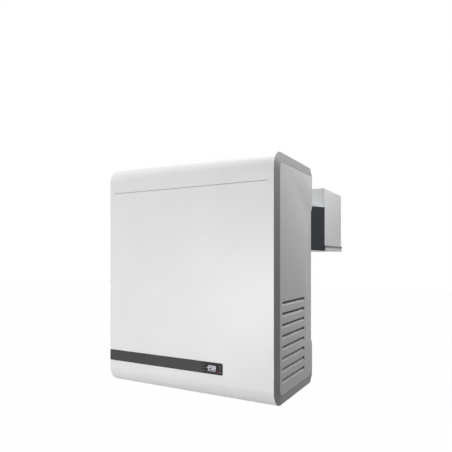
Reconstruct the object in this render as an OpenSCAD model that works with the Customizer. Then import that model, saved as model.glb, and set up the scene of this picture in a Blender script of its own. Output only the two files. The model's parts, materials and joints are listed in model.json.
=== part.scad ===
// Wall-mounted monoblock refrigeration unit: an outdoor housing, a plug that fills the
// cut-out of a cold-room wall, and an evaporator section that hangs inside the room.
// X runs across, Y from the front towards the room, Z up. The origin is the centre of the
// four wall-bolt holes, on the back face of the housing.

/* [Housing] */
// Width of the housing over its side panels
body_w = 670; // [620:5:760]
// Height of the housing
body_h = 790; // [760:5:900]
// Depth of the housing, from the front to the wall
body_d = 346; // [336:2:400]
// Radius of the front's top and bottom corners
corner_r = 55; // [46:1:70]
// Width of the sloped frame round each side
bezel_w = 32; // [26:1:36]
// How far the sloped frame rises to the side
bezel_rise = 7.5; // [5:0.5:9]
// Thickness of the moulded side frame
bezel_t = 2; // [1.5:0.5:2.5]
// Thickness of the front and top covers
cover_t = 2.5; // [2:0.5:3.5]
// Thickness of the galvanised chassis sheet
sheet_t = 1.5; // [1:0.25:2]
// Thickness of the side panels
side_t = 1.2; // [0.8:0.2:1.6]
// How far the front cover reaches back over the top
cover_top_reach = 120; // [100:5:140]
// How far the front cover reaches back under the housing
cover_low_reach = 90; // [80:5:100]

/* [Front cover] */
// Distance of the groove below the top
groove_drop = 94; // [80:1:110]
// Distance of the groove's ends from the cover's sides
groove_end = 19; // [10:1:40]
// Width of the groove
groove_w = 2.4; // [1.5:0.1:4]
// Height of the dark strip's lower edge above the underside
strip_low = 82; // [70:1:95]
// Height of the dark strip
strip_h = 39; // [38:0.5:42]
// Distance of the strip's end from the cover's right side
strip_end = 176; // [120:1:240]
// Corner radius of the strip's end
strip_r = 6; // [4:0.5:8]

/* [Controller] */
// Width of the controller's face
display_w = 76; // [72:1:84]
// Height of the controller's face
display_h = 36; // [34:0.5:37]
// How far the controller's face stands proud of the cover
display_proud = 1.5; // [0.5:0.5:3]
// Width of the display's lens
lens_w = 50; // [44:1:52]
// Height of the display's lens
lens_h = 27; // [22:1:28]
// Width of a key
key_w = 4.4; // [3.5:0.1:5]
// Height of a key
key_h = 4; // [3:0.5:5]
// Distance between keys up and down
key_pitch = 9.6; // [8:0.2:10.5]
// Travel of a key
key_travel = 0.6; // [0.4:0.1:1]

/* [Side panels] */
// Number of louvres in each side panel
louvre_count = 8; // [5:1:9]
// Distance between louvres
louvre_pitch = 34.5; // [28:0.5:38]
// Height of the lowest louvre's edge above the underside
louvre_low = 68; // [60:1:90]
// Height of a louvre's opening
louvre_h = 13.3; // [10:0.1:16]
// How far a louvre's ramp is pressed inwards
louvre_deep = 9.5; // [6:0.5:10]
// How far a louvre's ramp rises
louvre_rise = 10; // [6:0.1:12]
// Distance of the louvres behind the front
louvre_front = 50; // [46:1:70]
// Length of a louvre
louvre_len = 210; // [160:5:215]
// Height of the pressed recess in the rear edge
recess_h = 500; // [400:10:560]
// How far the recess reaches forward from the rear edge
recess_reach = 60; // [55:1:64]
// Corner radius of the recess
recess_r = 50; // [35:1:54]
// Width of the recess's sloped border
recess_border = 17; // [10:1:20]
// Depth of the recess
recess_deep = 4; // [2:0.5:4.5]

/* [Wall plug] */
// Distance of the plug's sides inside the housing's sides
plug_inset = 15; // [15:1:30]
// Height of the plug
plug_h = 180; // [160:2:190]
// Length of the plug behind the wall's outer face
plug_d = 211; // [150:1:240]
// Height of the plug's underside above the housing's underside
plug_low = 488; // [440:2:520]
// Thickness of the plug's sheet sleeve
sleeve_t = 1; // [0.8:0.1:1.5]
// Thickness of the plug's dark side cheeks
cheek_t = 2; // [1.5:0.5:3]
// How far a cheek's top edge slopes down towards the wall
cheek_slope = 16; // [8:1:24]
// Thickness of the foam gasket against the wall
gasket_t = 5; // [3:0.5:8]
// Width of the foam gasket
gasket_w = 20; // [12:1:30]

/* [Evaporator section] */
// Depth of the evaporator section
evap_d = 270; // [240:2:320]
// Height of the evaporator section, over its tray
evap_h = 258; // [248:2:280]
// Thickness of the evaporator section's sheet
evap_t = 1.2; // [0.8:0.1:1.6]
// Height of the drip tray's walls
tray_h = 23; // [20:1:28]
// How far the tray's rim stands behind the side plates
tray_behind = 5; // [3:0.5:8]
// Radius of the tray's hinge pins
tray_pin_r = 2.5; // [2:0.25:3.5]
// Radius of the evaporator fans' openings
evap_ring_r = 98; // [85:1:100]
// Distance between the evaporator fans
evap_fan_pitch = 300; // [260:5:320]

/* [Refrigeration] */
// Radius of the compressor's shell
comp_r = 78; // [65:1:85]
// Height of the compressor's shell
comp_h = 190; // [160:5:230]
// Clear depth between the condenser and the wall's face
cond_rear = 62.2; // [58:0.2:80]
// Height of the condenser
cond_h = 300; // [280:4:310]
// Thickness of the condenser
cond_t = 50; // [44:1:56]
// Distance of the condenser fan's opening inside its shroud's ends
cond_ring_side = 9; // [7:1:20]
// Outer radius of the heat exchangers' tubes
coil_tube_r = 4.76; // [4:0.05:5]
// Outer radius of the pipes
pipe_r = 5; // [4:0.25:6]

/* [Mounting] */
// Distance of the wall bolts inside the housing's sides
bolt_side = 40; // [36:1:60]
// Distance of the wall bolts from the housing's top and underside
bolt_end = 45; // [36:1:70]
// Radius of a wall-bolt hole
bolt_hole_r = 4.5; // [3.5:0.25:6]
// Outer radius of the drip tray's drain spigot
drain_r = 8; // [6:0.5:10]
// Length of the drain spigot below the tray
drain_drop = 24; // [18:1:40]
// Radius of the cable gland's bore
gland_bore_r = 5; // [3:0.25:6.5]

/* [Hidden] */
$fn = 64;

// Clearances, shared by every fit
fit_gap = 0.3;
run_gap = 0.05;
overrun = 5;

// Faces of the housing
half_w = body_w / 2;
cover_half = half_w - bezel_rise;
front_y = -body_d;
floor_z = -body_h / 2;
roof_z = body_h / 2;
cover_gap = 0.8;
cover_top_y = front_y + cover_top_reach;
cover_low_y = front_y + cover_low_reach;
lip = 20;
lip_room = 1;

// Side frame and side panel
tongue_in = cover_t + fit_gap;
tongue_w = 15;
ledge_w = 10;
panel_sink = 0.4;
panel_out = half_w - panel_sink;
ledge_out = panel_out - side_t;
chassis_half = cover_half - tongue_w;
rear_half = panel_out - recess_deep - side_t - fit_gap;
panel_inset = bezel_w + fit_gap;

// Base tray, rear panel and shelf
base_z = floor_z + tongue_in;
deck_z = base_z + sheet_t;
base_set = 1;
base_front = front_y + corner_r + base_set;
flange_h = 30;
rear_face_in = -sheet_t;
cover_screw_set = 20;
screw_y = cover_low_y - cover_screw_set;
cover_screw_x = 150;
cover_screw_r = 2;

// Strip, window and controller
strip_deep = 1.2;
strip_proud = 0.2;
strip_right = cover_half - strip_end;
strip_z = floor_z + strip_low;
display_margin = 1.5;
display_x = strip_right - display_margin - display_w / 2;
display_z = strip_z + strip_h / 2;
display_r = 3;
window_gap = 0.4;
frame_wall = 1.5;
frame_deep = 6;
case_w = display_w - 5;
case_h = display_h - 7;
case_deep = 52;
key_proud = 0.4;
key_flange = 0.7;
key_flange_t = 0.8;
key_hole_gap = 0.15;
key_stem = 2;
key_x = (display_w + lens_w) / 4;
bracket_low = 24;

// Plug
plug_z = floor_z + plug_low;
plug_half = half_w - plug_inset;
sleeve_half = plug_half - cheek_t;
plug_top_z = plug_z + plug_h;
plug_inner = 25;
plug_lip = 14;

// Evaporator section
evap_y = plug_d;
evap_z = plug_z + fit_gap;
evap_top_z = evap_z + evap_h;
evap_back_y = evap_y + evap_d;
evap_inset = 2;
evap_half = plug_half - evap_inset;
tray_gap = 1;
tray_in = evap_half + tray_gap;
tray_ahead = 11;
tray_front_y = evap_y + tray_ahead;
tray_back_y = evap_back_y + tray_behind;
tray_rim = 3;
tray_top_z = evap_z + tray_h;
plate_lift = 7;
plate_low_z = evap_z + evap_t + plate_lift;
hinge_set = 9;
hinge_y = tray_front_y + hinge_set;
hinge_z = evap_z + hinge_set;

// Condensing unit
shelf_rise = 345;
shelf_set = 62;
shelf_z = floor_z + shelf_rise;
comp_set = 162.5;
comp_x = comp_set - chassis_half;
comp_y = -165;
grommet_h = 14;
comp_plate_t = 3;
comp_plate_w = 200;
comp_plate_d = 130;
comp_bolt_x = 84;
comp_bolt_y = 50;
comp_bolt_r = 4;
comp_z = deck_z + grommet_h + comp_plate_t;
comp_top_z = comp_z + comp_h;
seam_share = 0.45;
seam_t = 4;
seam_out = 3;
seam_room = 2;
seam_z = comp_z + comp_h * seam_share;
stub_r = 7;
stub_h = 12;
stub_out = 22;
cond_gap = 6;
cond_x = chassis_half - sheet_t - cond_gap - cond_t;
cond_front = base_front + sheet_t + fit_gap;
cond_len = -cond_rear - cond_front;
cond_y = cond_front + cond_len / 2;
cond_ring_r = cond_len / 2 - cond_ring_side;
cond_low_z = deck_z;
cond_rows = 2;
cond_count = 12;
coil_pitch = cond_h / cond_count;
cond_bend = coil_pitch / 2;
cond_row_x = cond_x + (cond_t - coil_pitch) / 2;
cond_end_room = 1;
cond_fin_len = cond_len - 2 * (cond_bend + coil_tube_r + cond_end_room);
cond_fin_pitch = 6;
fin_t = 0.6;
tube_wall = 0.8;
shroud_deep = 34;
shroud_x = cond_x - shroud_deep;
shroud_t = 2.5;
cond_fan_z = cond_low_z + cond_h / 2;
blade_gap = 4;
cond_blade_r = cond_ring_r - blade_gap;
cond_blade_deep = 24;
cond_blade_pitch = 24;
fan_blades = 5;
fan_hub_r = 24;
fan_shaft_r = 3;
motor_r = 42;
motor_len = 46;
cond_collar = 20;
cond_arm_t = 5;
cond_collar_x = shroud_x - cond_collar;
cond_motor_x = cond_collar_x + cond_arm_t;
motor_gap = 4;
shaft_grip = 20;
shaft_room = 2;
cond_tube_low_z = cond_low_z + coil_pitch / 2;
cond_corner = cond_len / 2 - coil_tube_r;
grommet_r = 12;
grommet_neck = 7.5;
grommet_cap = 3;
grommet_top_z = comp_z + grommet_cap;

// Evaporator coil and fans
evap_rows = 2;
evap_count = 7;
evap_pitch = 26;
evap_bend = evap_pitch / 2;
coil_set = 70;
coil_y = evap_y + coil_set;
coil_t = evap_rows * evap_pitch;
coil_lift = 14;
coil_low_z = plate_low_z + coil_lift;
coil_h = evap_count * evap_pitch;
coil_end = 46;
coil_half = evap_half - coil_end;
evap_fin_pitch = 10;
guard_reach = 6;
guard_lift = 4;
evap_fan_z = tray_top_z + evap_ring_r + guard_reach + guard_lift;
evap_blade_r = evap_ring_r - blade_gap;
evap_blade_pitch = 20;
fan_panel_y = evap_back_y - evap_t;
ring_deep = 22;
evap_motor_r = 34;
evap_motor_len = 44;
guard_wire = 2.6;
guard_rings = 6;

// Pipes
pipe_wall = 0.9;
pipe_bend = 18;
discharge_bend = 14;
suction_bend = 11;
discharge_rise = 40;
suction_rise = 62;
suction_x = -60;
liquid_x = -100;
passage_gap = 1;
pipe_z = plug_z + plug_h / 2;
gland_set = 72.5;
gland_x = gland_set - chassis_half;
gland_y = -36;
gland_wall = 3;
gland_r = gland_bore_r + gland_wall;
gland_len = 26;
drain_x = -coil_half / 2;
drain_y = (tray_front_y + tray_back_y) / 2;
drier_x = 60;
drier_y = -24;
drier_r = 12;
drier_rise = 140;
drier_low_z = floor_z + drier_rise;
drier_len = 100;
drier_taper = 16;
cap_tube_r = 1.2;
cap_turns_h = 12;
cap_side = 22;
cap_back = 10;
cap_ring_r = norm([cap_side, cap_back]);
cap_x = drier_x - cap_side;
cap_y = drier_y - cap_back;
cap_rise = 96;
cap_low_z = floor_z + cap_rise;
cond_end_y = cond_y + cond_corner;
evap_turn_out = 18;
evap_corner = coil_half + evap_turn_out;
evap_end_x = -evap_corner;
evap_tube_low_z = coil_low_z + evap_pitch / 2;
evap_line_set = 35;
evap_line_y = evap_y + evap_line_set;
evap_line_gap = 20;
suction_line_y = evap_line_y + evap_line_gap;
evap_line_out = 16;
evap_line_x = evap_end_x - evap_line_out;
stub_top_z = comp_top_z + stub_h;
suction_y = -52;
discharge_y = -47;
line_y = -24;
line_rise = 300;
line_z = floor_z + line_rise;

// Electrical box
elec_x = -285;
elec_w = 220;
elec_h = 200;
elec_set = 66;
elec_front = front_y + elec_set;
elec_d = 88;
elec_t = 2;
elec_z = shelf_z + sheet_t;

// Holes near a cheek's inner end: share of the plug's height, and radius
cheek_hole_shares = [[0.9, 0.016], [0.494, 0.016], [0.294, 0.0236], [0.072, 0.016]];
cheek_hole_set = 37;
cheek_hole_deep = 15;

// Sheet screws
sheet_screw_r = 1.8;
sheet_head_r = 3.5;
sheet_head_t = 1.4;
screw_set = 8;

// A cuboid from its lowest to its highest corner
module block(low, high) {
  translate(low) cube(high - low);
}

// Cylinders along the three axes
module rod_x(x0, x1, y, z, r) {
  translate([x0, y, z]) rotate([0, 90, 0]) cylinder(h = x1 - x0, r = r);
}
module rod_y(y0, y1, x, z, r) {
  translate([x, y0, z]) rotate([-90, 0, 0]) cylinder(h = y1 - y0, r = r);
}
module rod_z(z0, z1, x, y, r) {
  translate([x, y, z0]) cylinder(h = z1 - z0, r = r);
}

// A flat shape in Y and Z, drawn out along X
module along_x(x0, x1) {
  translate([x0, 0, 0]) rotate([90, 0, 90]) linear_extrude(x1 - x0) children();
}

// A flat shape in X and Z, drawn out along Y
module along_y(y0, y1) {
  translate([0, y1, 0]) rotate([90, 0, 0]) linear_extrude(y1 - y0) children();
}

// A piece and its mirror image on the other side
module both_sides() {
  children();
  mirror([1, 0, 0]) children();
}

// A rectangle whose two front corners are round, in Y and Z
module front_rounded(front, back, low, high, r) {
  translate([front + r, low]) square([back - front - r, high - low]);
  translate([front, low + r]) square([min(2 * r, back - front), high - low - 2 * r]);
  for (z = [low + r, high - r])
    intersection() {
      translate([front + r, z]) circle(r);
      translate([front, low]) square([back - front, high - low]);
    }
}

// A rectangle with round corners, about its centre
module rounded_rect(w, h, r) {
  square([w - 2 * r, h], center = true);
  square([w, h - 2 * r], center = true);
  for (x = [-1, 1], z = [-1, 1])
    translate([x * (w / 2 - r), z * (h / 2 - r)]) circle(r);
}

// A frame open to the rear: its section's points are inset from the outline and place along X
module rear_open_frame(front, back, low, high, r, section) {
  translate([0, 0, low + r])
    linear_extrude(high - low - 2 * r) polygon([for (p = section) [p[1], front + p[0]]]);
  along_y(front + r, back) polygon([for (p = section) [p[1], high - p[0]]]);
  along_y(front + r, back) polygon([for (p = section) [p[1], low + p[0]]]);
  for (corner = [[high - r, 180], [low + r, 270]])
    translate([0, front + r, corner[0]]) rotate([0, 90, 0]) rotate([0, 0, corner[1]])
      rotate_extrude(angle = 90) polygon([for (p = section) [r - p[0], p[1]]]);
}

// A tube's section
module tube_ring(r, wall) {
  difference() {
    circle(r);
    circle(r - wall);
  }
}

function unit(v) = v / norm(v);
function turn_angle(u, w) = acos(min(1, max(-1, u * w)));
function frame_angles(x, y, z) =
  abs(x[2]) > 0.9999
    ? [0, x[2] > 0 ? -90 : 90, atan2(-y[0], y[1])]
    : [atan2(y[2], z[2]), -asin(x[2]), atan2(x[1], x[0])];

// A bent tube through a list of points, with every bend of one radius
module pipe(points, r, wall, bend) {
  last = len(points) - 1;
  ways = [for (i = [0:last - 1]) unit(points[i + 1] - points[i])];
  trims = [for (i = [0:last])
    i == 0 || i == last ? 0 : bend * tan(turn_angle(ways[i - 1], ways[i]) / 2)];
  for (i = [0:last - 1]) {
    start = points[i] + ways[i] * trims[i];
    run = norm(points[i + 1] - points[i]) - trims[i] - trims[i + 1];
    if (run > run_gap)
      translate(start) rotate([0, acos(ways[i][2]), atan2(ways[i][1], ways[i][0])])
        linear_extrude(run) tube_ring(r, wall);
  }
  for (i = [1:1:last - 1]) {
    u = ways[i - 1];
    w = ways[i];
    inward = unit(w - (w * u) * u);
    translate(points[i] - u * trims[i] + inward * bend)
      rotate(frame_angles(-inward, u, cross(-inward, u)))
        rotate_extrude(angle = turn_angle(u, w)) translate([bend, 0]) tube_ring(r, wall);
  }
}

// Housing

module base_tray() {
  side = chassis_half;
  inner = chassis_half - sheet_t;
  color("silver") difference() {
    union() {
      block([-side, base_front, base_z], [side, rear_face_in, deck_z]);
      block([-side, base_front, base_z], [side, base_front + sheet_t, base_z + flange_h]);
      both_sides()
        block([inner, base_front, base_z], [side, rear_face_in, base_z + flange_h]);
    }
    both_sides()
      block([cover_screw_x - cover_screw_r - fit_gap, base_front - overrun, base_z - overrun],
        [cover_screw_x + cover_screw_r + fit_gap, screw_y + cover_screw_r + fit_gap, base_z + flange_h / 2]);
    comp_places() cylinder(h = 2 * overrun, r = comp_bolt_r + fit_gap, center = true);
    rod_z(base_z - overrun, deck_z + overrun, gland_x, gland_y, gland_r + run_gap);
  }
}

// The compressor's four fixing places, on the base tray's deck
module comp_places() {
  for (x = [-1, 1], y = [-1, 1])
    translate([comp_x + x * comp_bolt_x, comp_y + y * comp_bolt_y, deck_z]) children();
}

module rear_panel() {
  fold = 20;
  high = roof_z - cover_t;
  color("silver") difference() {
    union() {
      block([-rear_half, rear_face_in, base_z], [rear_half, 0, high]);
      both_sides()
        block([rear_half - sheet_t, -fold, deck_z + flange_h], [rear_half, 0, high - flange_h]);
    }
    block([-sleeve_half - fit_gap, rear_face_in - overrun, plug_z - fit_gap],
      [sleeve_half + fit_gap, overrun, plug_top_z + fit_gap]);
    for (x = [-1, 1], z = [-1, 1])
      rod_y(rear_face_in - overrun, overrun, x * (half_w - bolt_side), z * (roof_z - bolt_end), bolt_hole_r);
  }
}

module top_panel() {
  edge_y = cover_top_y + cover_gap;
  lip_half = chassis_half - lip_room;
  lip_top = roof_z - cover_t - fit_gap;
  slot_w = 5;
  slot_pitch = 14;
  slot_count = 34;
  slot_set = 47;
  slot_front = edge_y + slot_set;
  slot_back = -slot_set;
  color("white") difference() {
    union() {
      block([-cover_half, edge_y, roof_z - cover_t], [cover_half, 0, roof_z]);
      block([-lip_half, edge_y, lip_top - cover_t], [lip_half, edge_y + cover_t, roof_z]);
      block([-lip_half, cover_top_y - lip, lip_top - cover_t], [lip_half, edge_y + cover_t, lip_top]);
    }
    for (i = [0:slot_count - 1]) {
      x = (i - (slot_count - 1) / 2) * slot_pitch;
      block([x - slot_w / 2, slot_front, roof_z - cover_t - overrun],
        [x + slot_w / 2, slot_back, roof_z + overrun]);
    }
  }
}

// The dark strip's outline, drawn in by an inset at its top, bottom and end
module strip_outline(inset) {
  low = strip_z + inset;
  high = strip_z + strip_h - inset;
  right = strip_right - inset;
  r = strip_r - inset;
  translate([-cover_half, low]) square([right - r + cover_half, high - low]);
  translate([-cover_half, low + r]) square([right + cover_half, high - low - 2 * r]);
  for (z = [low + r, high - r])
    translate([right - r, z]) circle(r);
}

// The window for the controller, through the cover and the strip
module window_cut() {
  along_y(front_y - overrun, front_y + cover_t + overrun)
    translate([display_x, display_z])
      rounded_rect(display_w + 2 * window_gap, display_h + 2 * window_gap, display_r + window_gap);
}

module front_cover() {
  groove_z = roof_z - groove_drop;
  groove_deep = 1;
  color("white") difference() {
    along_x(-cover_half, cover_half) difference() {
      front_rounded(front_y, 0, floor_z, roof_z, corner_r);
      front_rounded(front_y + cover_t, overrun, floor_z + cover_t, roof_z - cover_t, corner_r - cover_t);
      translate([cover_top_y, 0]) square([body_d, roof_z + overrun]);
      translate([cover_low_y, floor_z - overrun]) square([body_d, roof_z + overrun]);
    }
    block([-cover_half + groove_end, front_y - overrun, groove_z - groove_w / 2],
      [cover_half - groove_end, front_y + groove_deep, groove_z + groove_w / 2]);
    along_y(front_y - overrun, front_y + strip_deep) strip_outline(0);
    window_cut();
    both_sides()
      rod_z(floor_z - overrun, floor_z + cover_t + overrun, cover_screw_x, screw_y, cover_screw_r + run_gap);
  }
}

// Two captive screws that hold the cover's lower edge to the base tray
module cover_screws() {
  head_r = 4.5;
  head_t = 1.8;
  nut_r = 4;
  nut_t = 3;
  color("dimgray") both_sides() {
    rod_z(floor_z - head_t, floor_z, cover_screw_x, screw_y, head_r);
    rod_z(floor_z, deck_z + fit_gap + nut_t, cover_screw_x, screw_y, cover_screw_r);
    rod_z(deck_z + fit_gap, deck_z + fit_gap + nut_t, cover_screw_x, screw_y, nut_r);
  }
}

module front_strip() {
  color("dimgray") difference() {
    along_y(front_y - strip_proud, front_y + strip_deep) strip_outline(fit_gap);
    window_cut();
  }
}

module side_bezel_right() {
  color("gray") rear_open_frame(front_y, rear_face_in, floor_z, roof_z, corner_r, [
    [0, cover_half],
    [bezel_w, half_w],
    [bezel_w, ledge_out],
    [bezel_w + ledge_w, ledge_out],
    [bezel_w + ledge_w, ledge_out - bezel_t],
    [bezel_w - bezel_t, ledge_out - bezel_t],
    [tongue_in + bezel_t, cover_half - bezel_t],
    [tongue_in + bezel_t, chassis_half],
    [tongue_in, chassis_half],
    [tongue_in, cover_half]
  ]);
}

module side_bezel_left() {
  mirror([1, 0, 0]) side_bezel_right();
}

// The pressed recess in the side panel's rear edge
module recess_shape(inset, back) {
  front_rounded(-recess_reach + inset, back, -recess_h / 2 + inset, recess_h / 2 - inset, recess_r - inset);
}

module side_panel_right() {
  start = front_y + louvre_front;
  end = start + louvre_len;
  tip = panel_out - louvre_deep;
  floor_out = panel_out - recess_deep;
  color("darkgray") {
    difference() {
      along_x(ledge_out, panel_out) difference() {
        front_rounded(front_y + panel_inset, 0, floor_z + panel_inset, roof_z - panel_inset,
          corner_r - panel_inset);
        recess_shape(0, overrun);
      }
      for (i = [0:louvre_count - 1]) {
        low = floor_z + louvre_low + i * louvre_pitch;
        block([ledge_out - overrun, start, low], [panel_out + overrun, end, low + louvre_h]);
      }
    }
    for (i = [0:louvre_count - 1]) {
      low = floor_z + louvre_low + i * louvre_pitch;
      along_y(start, end) polygon([
        [panel_out, low - side_t], [panel_out, low], [tip, low + louvre_rise],
        [tip, low + louvre_rise - side_t], [ledge_out, low - side_t]
      ]);
      for (y = [start, end - side_t])
        along_y(y, y + side_t)
          polygon([[panel_out, low], [panel_out, low + louvre_h + side_t], [tip, low + louvre_rise]]);
    }
    rear_open_frame(-recess_reach, 0, -recess_h / 2, recess_h / 2, recess_r, [
      [0, panel_out], [recess_border, floor_out], [recess_border, floor_out - side_t], [0, ledge_out]
    ]);
    along_x(floor_out - side_t, floor_out) recess_shape(recess_border, 0);
  }
}

module side_panel_left() {
  mirror([1, 0, 0]) side_panel_right();
}

module divider_shelf() {
  half = chassis_half - lip_room;
  fold = 16;
  notch_side = 20;
  notch_deep = 62;
  front = front_y + shelf_set;
  color("silver") difference() {
    union() {
      block([-half, front, shelf_z], [half, rear_face_in, shelf_z + sheet_t]);
      block([-half, front, shelf_z - fold], [half, front + sheet_t, shelf_z]);
      both_sides()
        block([half - sheet_t, front, shelf_z - fold], [half, rear_face_in, shelf_z]);
    }
    block([liquid_x - notch_side, -notch_deep, shelf_z - overrun],
      [suction_x + notch_side, rear_face_in + overrun, shelf_z + overrun]);
  }
}

// Controller

module controller_bracket() {
  face_y = front_y + frame_deep;
  half = display_w / 2 + 6;
  low = display_z - display_h / 2 - bracket_low;
  color("silver") difference() {
    union() {
      block([display_x - half, face_y, low], [display_x + half, face_y + sheet_t, display_z + display_h / 2]);
      block([display_x - half, face_y, low], [display_x + half, base_front, low + sheet_t]);
      block([display_x - half, base_front - sheet_t, base_z], [display_x + half, base_front, low + sheet_t]);
    }
    block([display_x - case_w / 2 - run_gap, face_y - overrun, display_z - case_h / 2 - run_gap],
      [display_x + case_w / 2 + run_gap, face_y + overrun, display_z + case_h / 2 + run_gap]);
  }
}

// The controller's rear case, with its row of wire terminals
module controller_case() {
  start = front_y + frame_deep;
  end = start + case_deep;
  pin_count = 8;
  pin_w = 4;
  pin_pitch = 7.5;
  pin_deep = 6;
  color("black") difference() {
    block([display_x - case_w / 2, start, display_z - case_h / 2],
      [display_x + case_w / 2, end, display_z + case_h / 2]);
    for (i = [0:pin_count - 1]) {
      x = display_x + (i - (pin_count - 1) / 2) * pin_pitch;
      block([x - pin_w / 2, end - pin_deep, display_z - pin_w],
        [x + pin_w / 2, end + overrun, display_z + pin_w]);
    }
  }
}

// The places of the keys: three down each side of the lens
module key_place(number) {
  column = number < 3 ? -1 : 1;
  row = 1 - number % 3;
  translate([display_x + column * key_x, 0, display_z + row * key_pitch]) children();
}

module display_frame() {
  face_y = front_y - display_proud;
  color("black") difference() {
    along_y(face_y, front_y + frame_deep) translate([display_x, display_z])
      rounded_rect(display_w, display_h, display_r);
    along_y(face_y + frame_wall, front_y + frame_deep + overrun) translate([display_x, display_z])
      square([display_w - 2 * frame_wall, display_h - 2 * frame_wall], center = true);
    along_y(face_y - overrun, face_y + overrun) translate([display_x, display_z])
      square([lens_w, lens_h], center = true);
    for (i = [0:5])
      key_place(i) along_y(face_y - overrun, face_y + overrun)
        square([key_w + 2 * key_hole_gap, key_h + 2 * key_hole_gap], center = true);
  }
}

module display_window() {
  face_y = front_y - display_proud;
  rim = 0.8;
  color("black") translate([display_x, 0, display_z]) {
    along_y(face_y, face_y + frame_wall)
      square([lens_w - 2 * run_gap, lens_h - 2 * run_gap], center = true);
    along_y(face_y + frame_wall, face_y + frame_wall + rim)
      square([lens_w + 2 * rim, lens_h + 2 * rim], center = true);
  }
}

// A key with its flange, and its stem that bottoms on the controller's case
module key(number) {
  face_y = front_y - display_proud;
  seat_y = face_y + frame_wall + run_gap;
  color("dimgray") key_place(number) {
    along_y(face_y - key_proud, seat_y) square([key_w, key_h], center = true);
    along_y(seat_y, seat_y + key_flange_t)
      square([key_w + 2 * key_flange, key_h + 2 * key_flange], center = true);
    along_y(seat_y + key_flange_t, front_y + frame_deep - key_travel - run_gap)
      square([key_stem, key_stem], center = true);
  }
}

// Compressor

module compressor_shell() {
  round_r = 40;
  seam_r = comp_r + seam_out;
  color("black") difference() {
    union() {
      translate([comp_x, comp_y, comp_z]) rotate_extrude() {
        square([comp_r - round_r, comp_h]);
        translate([0, round_r]) square([comp_r, comp_h - 2 * round_r]);
        for (z = [round_r, comp_h - round_r])
          intersection() {
            translate([comp_r - round_r, z]) circle(round_r);
            square([comp_r, comp_h]);
          }
      }
      rod_z(seam_z, seam_z + seam_t, comp_x, comp_y, seam_r);
      for (x = [-stub_out, stub_out])
        rod_z(comp_top_z - overrun, comp_top_z + stub_h, comp_x + x, comp_y, stub_r);
    }
    for (x = [-stub_out, stub_out])
      rod_z(comp_top_z, comp_top_z + stub_h + overrun, comp_x + x, comp_y, pipe_r - pipe_wall);
  }
}

module compressor_base() {
  color("dimgray") difference() {
    block([comp_x - comp_plate_w / 2, comp_y - comp_plate_d / 2, comp_z - comp_plate_t],
      [comp_x + comp_plate_w / 2, comp_y + comp_plate_d / 2, comp_z]);
    comp_places() cylinder(h = 2 * grommet_h, r = grommet_neck + run_gap);
  }
}

module compressor_grommets() {
  color("black") comp_places() difference() {
    union() {
      cylinder(h = grommet_h, r = grommet_r);
      cylinder(h = grommet_top_z - deck_z, r = grommet_neck);
      translate([0, 0, grommet_h + comp_plate_t]) cylinder(h = grommet_cap, r = grommet_r - 2);
    }
    translate([0, 0, -overrun]) cylinder(h = 3 * grommet_h, r = comp_bolt_r + run_gap);
  }
}

module compressor_bolts() {
  head_r = 6.5;
  head_t = 2.2;
  nut_t = 6;
  top = grommet_top_z - deck_z;
  color("silver") comp_places() {
    translate([0, 0, -sheet_t - head_t]) cylinder(h = head_t, r = head_r);
    translate([0, 0, -sheet_t]) cylinder(h = sheet_t + top + nut_t, r = comp_bolt_r);
    translate([0, 0, top]) cylinder(h = nut_t, r = head_r, $fn = 6);
  }
}

module compressor_terminal_cover() {
  w = 62;
  h = 70;
  out = 30;
  in = 16;
  low = seam_z + seam_t + seam_room;
  color("black") difference() {
    block([comp_x - w / 2, comp_y - comp_r - out, low], [comp_x + w / 2, comp_y - comp_r + in, low + h]);
    rod_z(low - overrun, low + h + overrun, comp_x, comp_y, comp_r + run_gap);
  }
}

// Heat exchangers: a tube that runs to and fro through holes in a stack of fins

// Corner points of the tube, as [along, row, level], for a coil of so many rows and levels
function coil_points(half, rows, count, pitch) = [
  for (k = [0:rows * count - 1])
    let (row = floor(k / count), step = k % count, level = row % 2 == 0 ? step : count - 1 - step)
      for (side = k % 2 == 0 ? [1, -1] : [-1, 1])
        [side * half, row * pitch, level * pitch]
];

module condenser_fins() {
  count = floor(cond_fin_len / cond_fin_pitch);
  color("lightgray") for (i = [0:count]) {
    y = cond_y + (i - count / 2) * cond_fin_pitch;
    along_y(y - fin_t / 2, y + fin_t / 2) difference() {
      translate([cond_x, cond_low_z]) square([cond_t, cond_h]);
      for (row = [0:cond_rows - 1], level = [0:cond_count - 1])
        translate([cond_row_x + row * coil_pitch, cond_low_z + (level + 0.5) * coil_pitch])
          circle(coil_tube_r + run_gap);
    }
  }
}

module condenser_tubes() {
  points = [for (p = coil_points(cond_corner, cond_rows, cond_count, coil_pitch))
    [cond_row_x + p[1], cond_y + p[0], cond_tube_low_z + p[2]]];
  color("peru") pipe(points, coil_tube_r, tube_wall, cond_bend);
}

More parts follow.
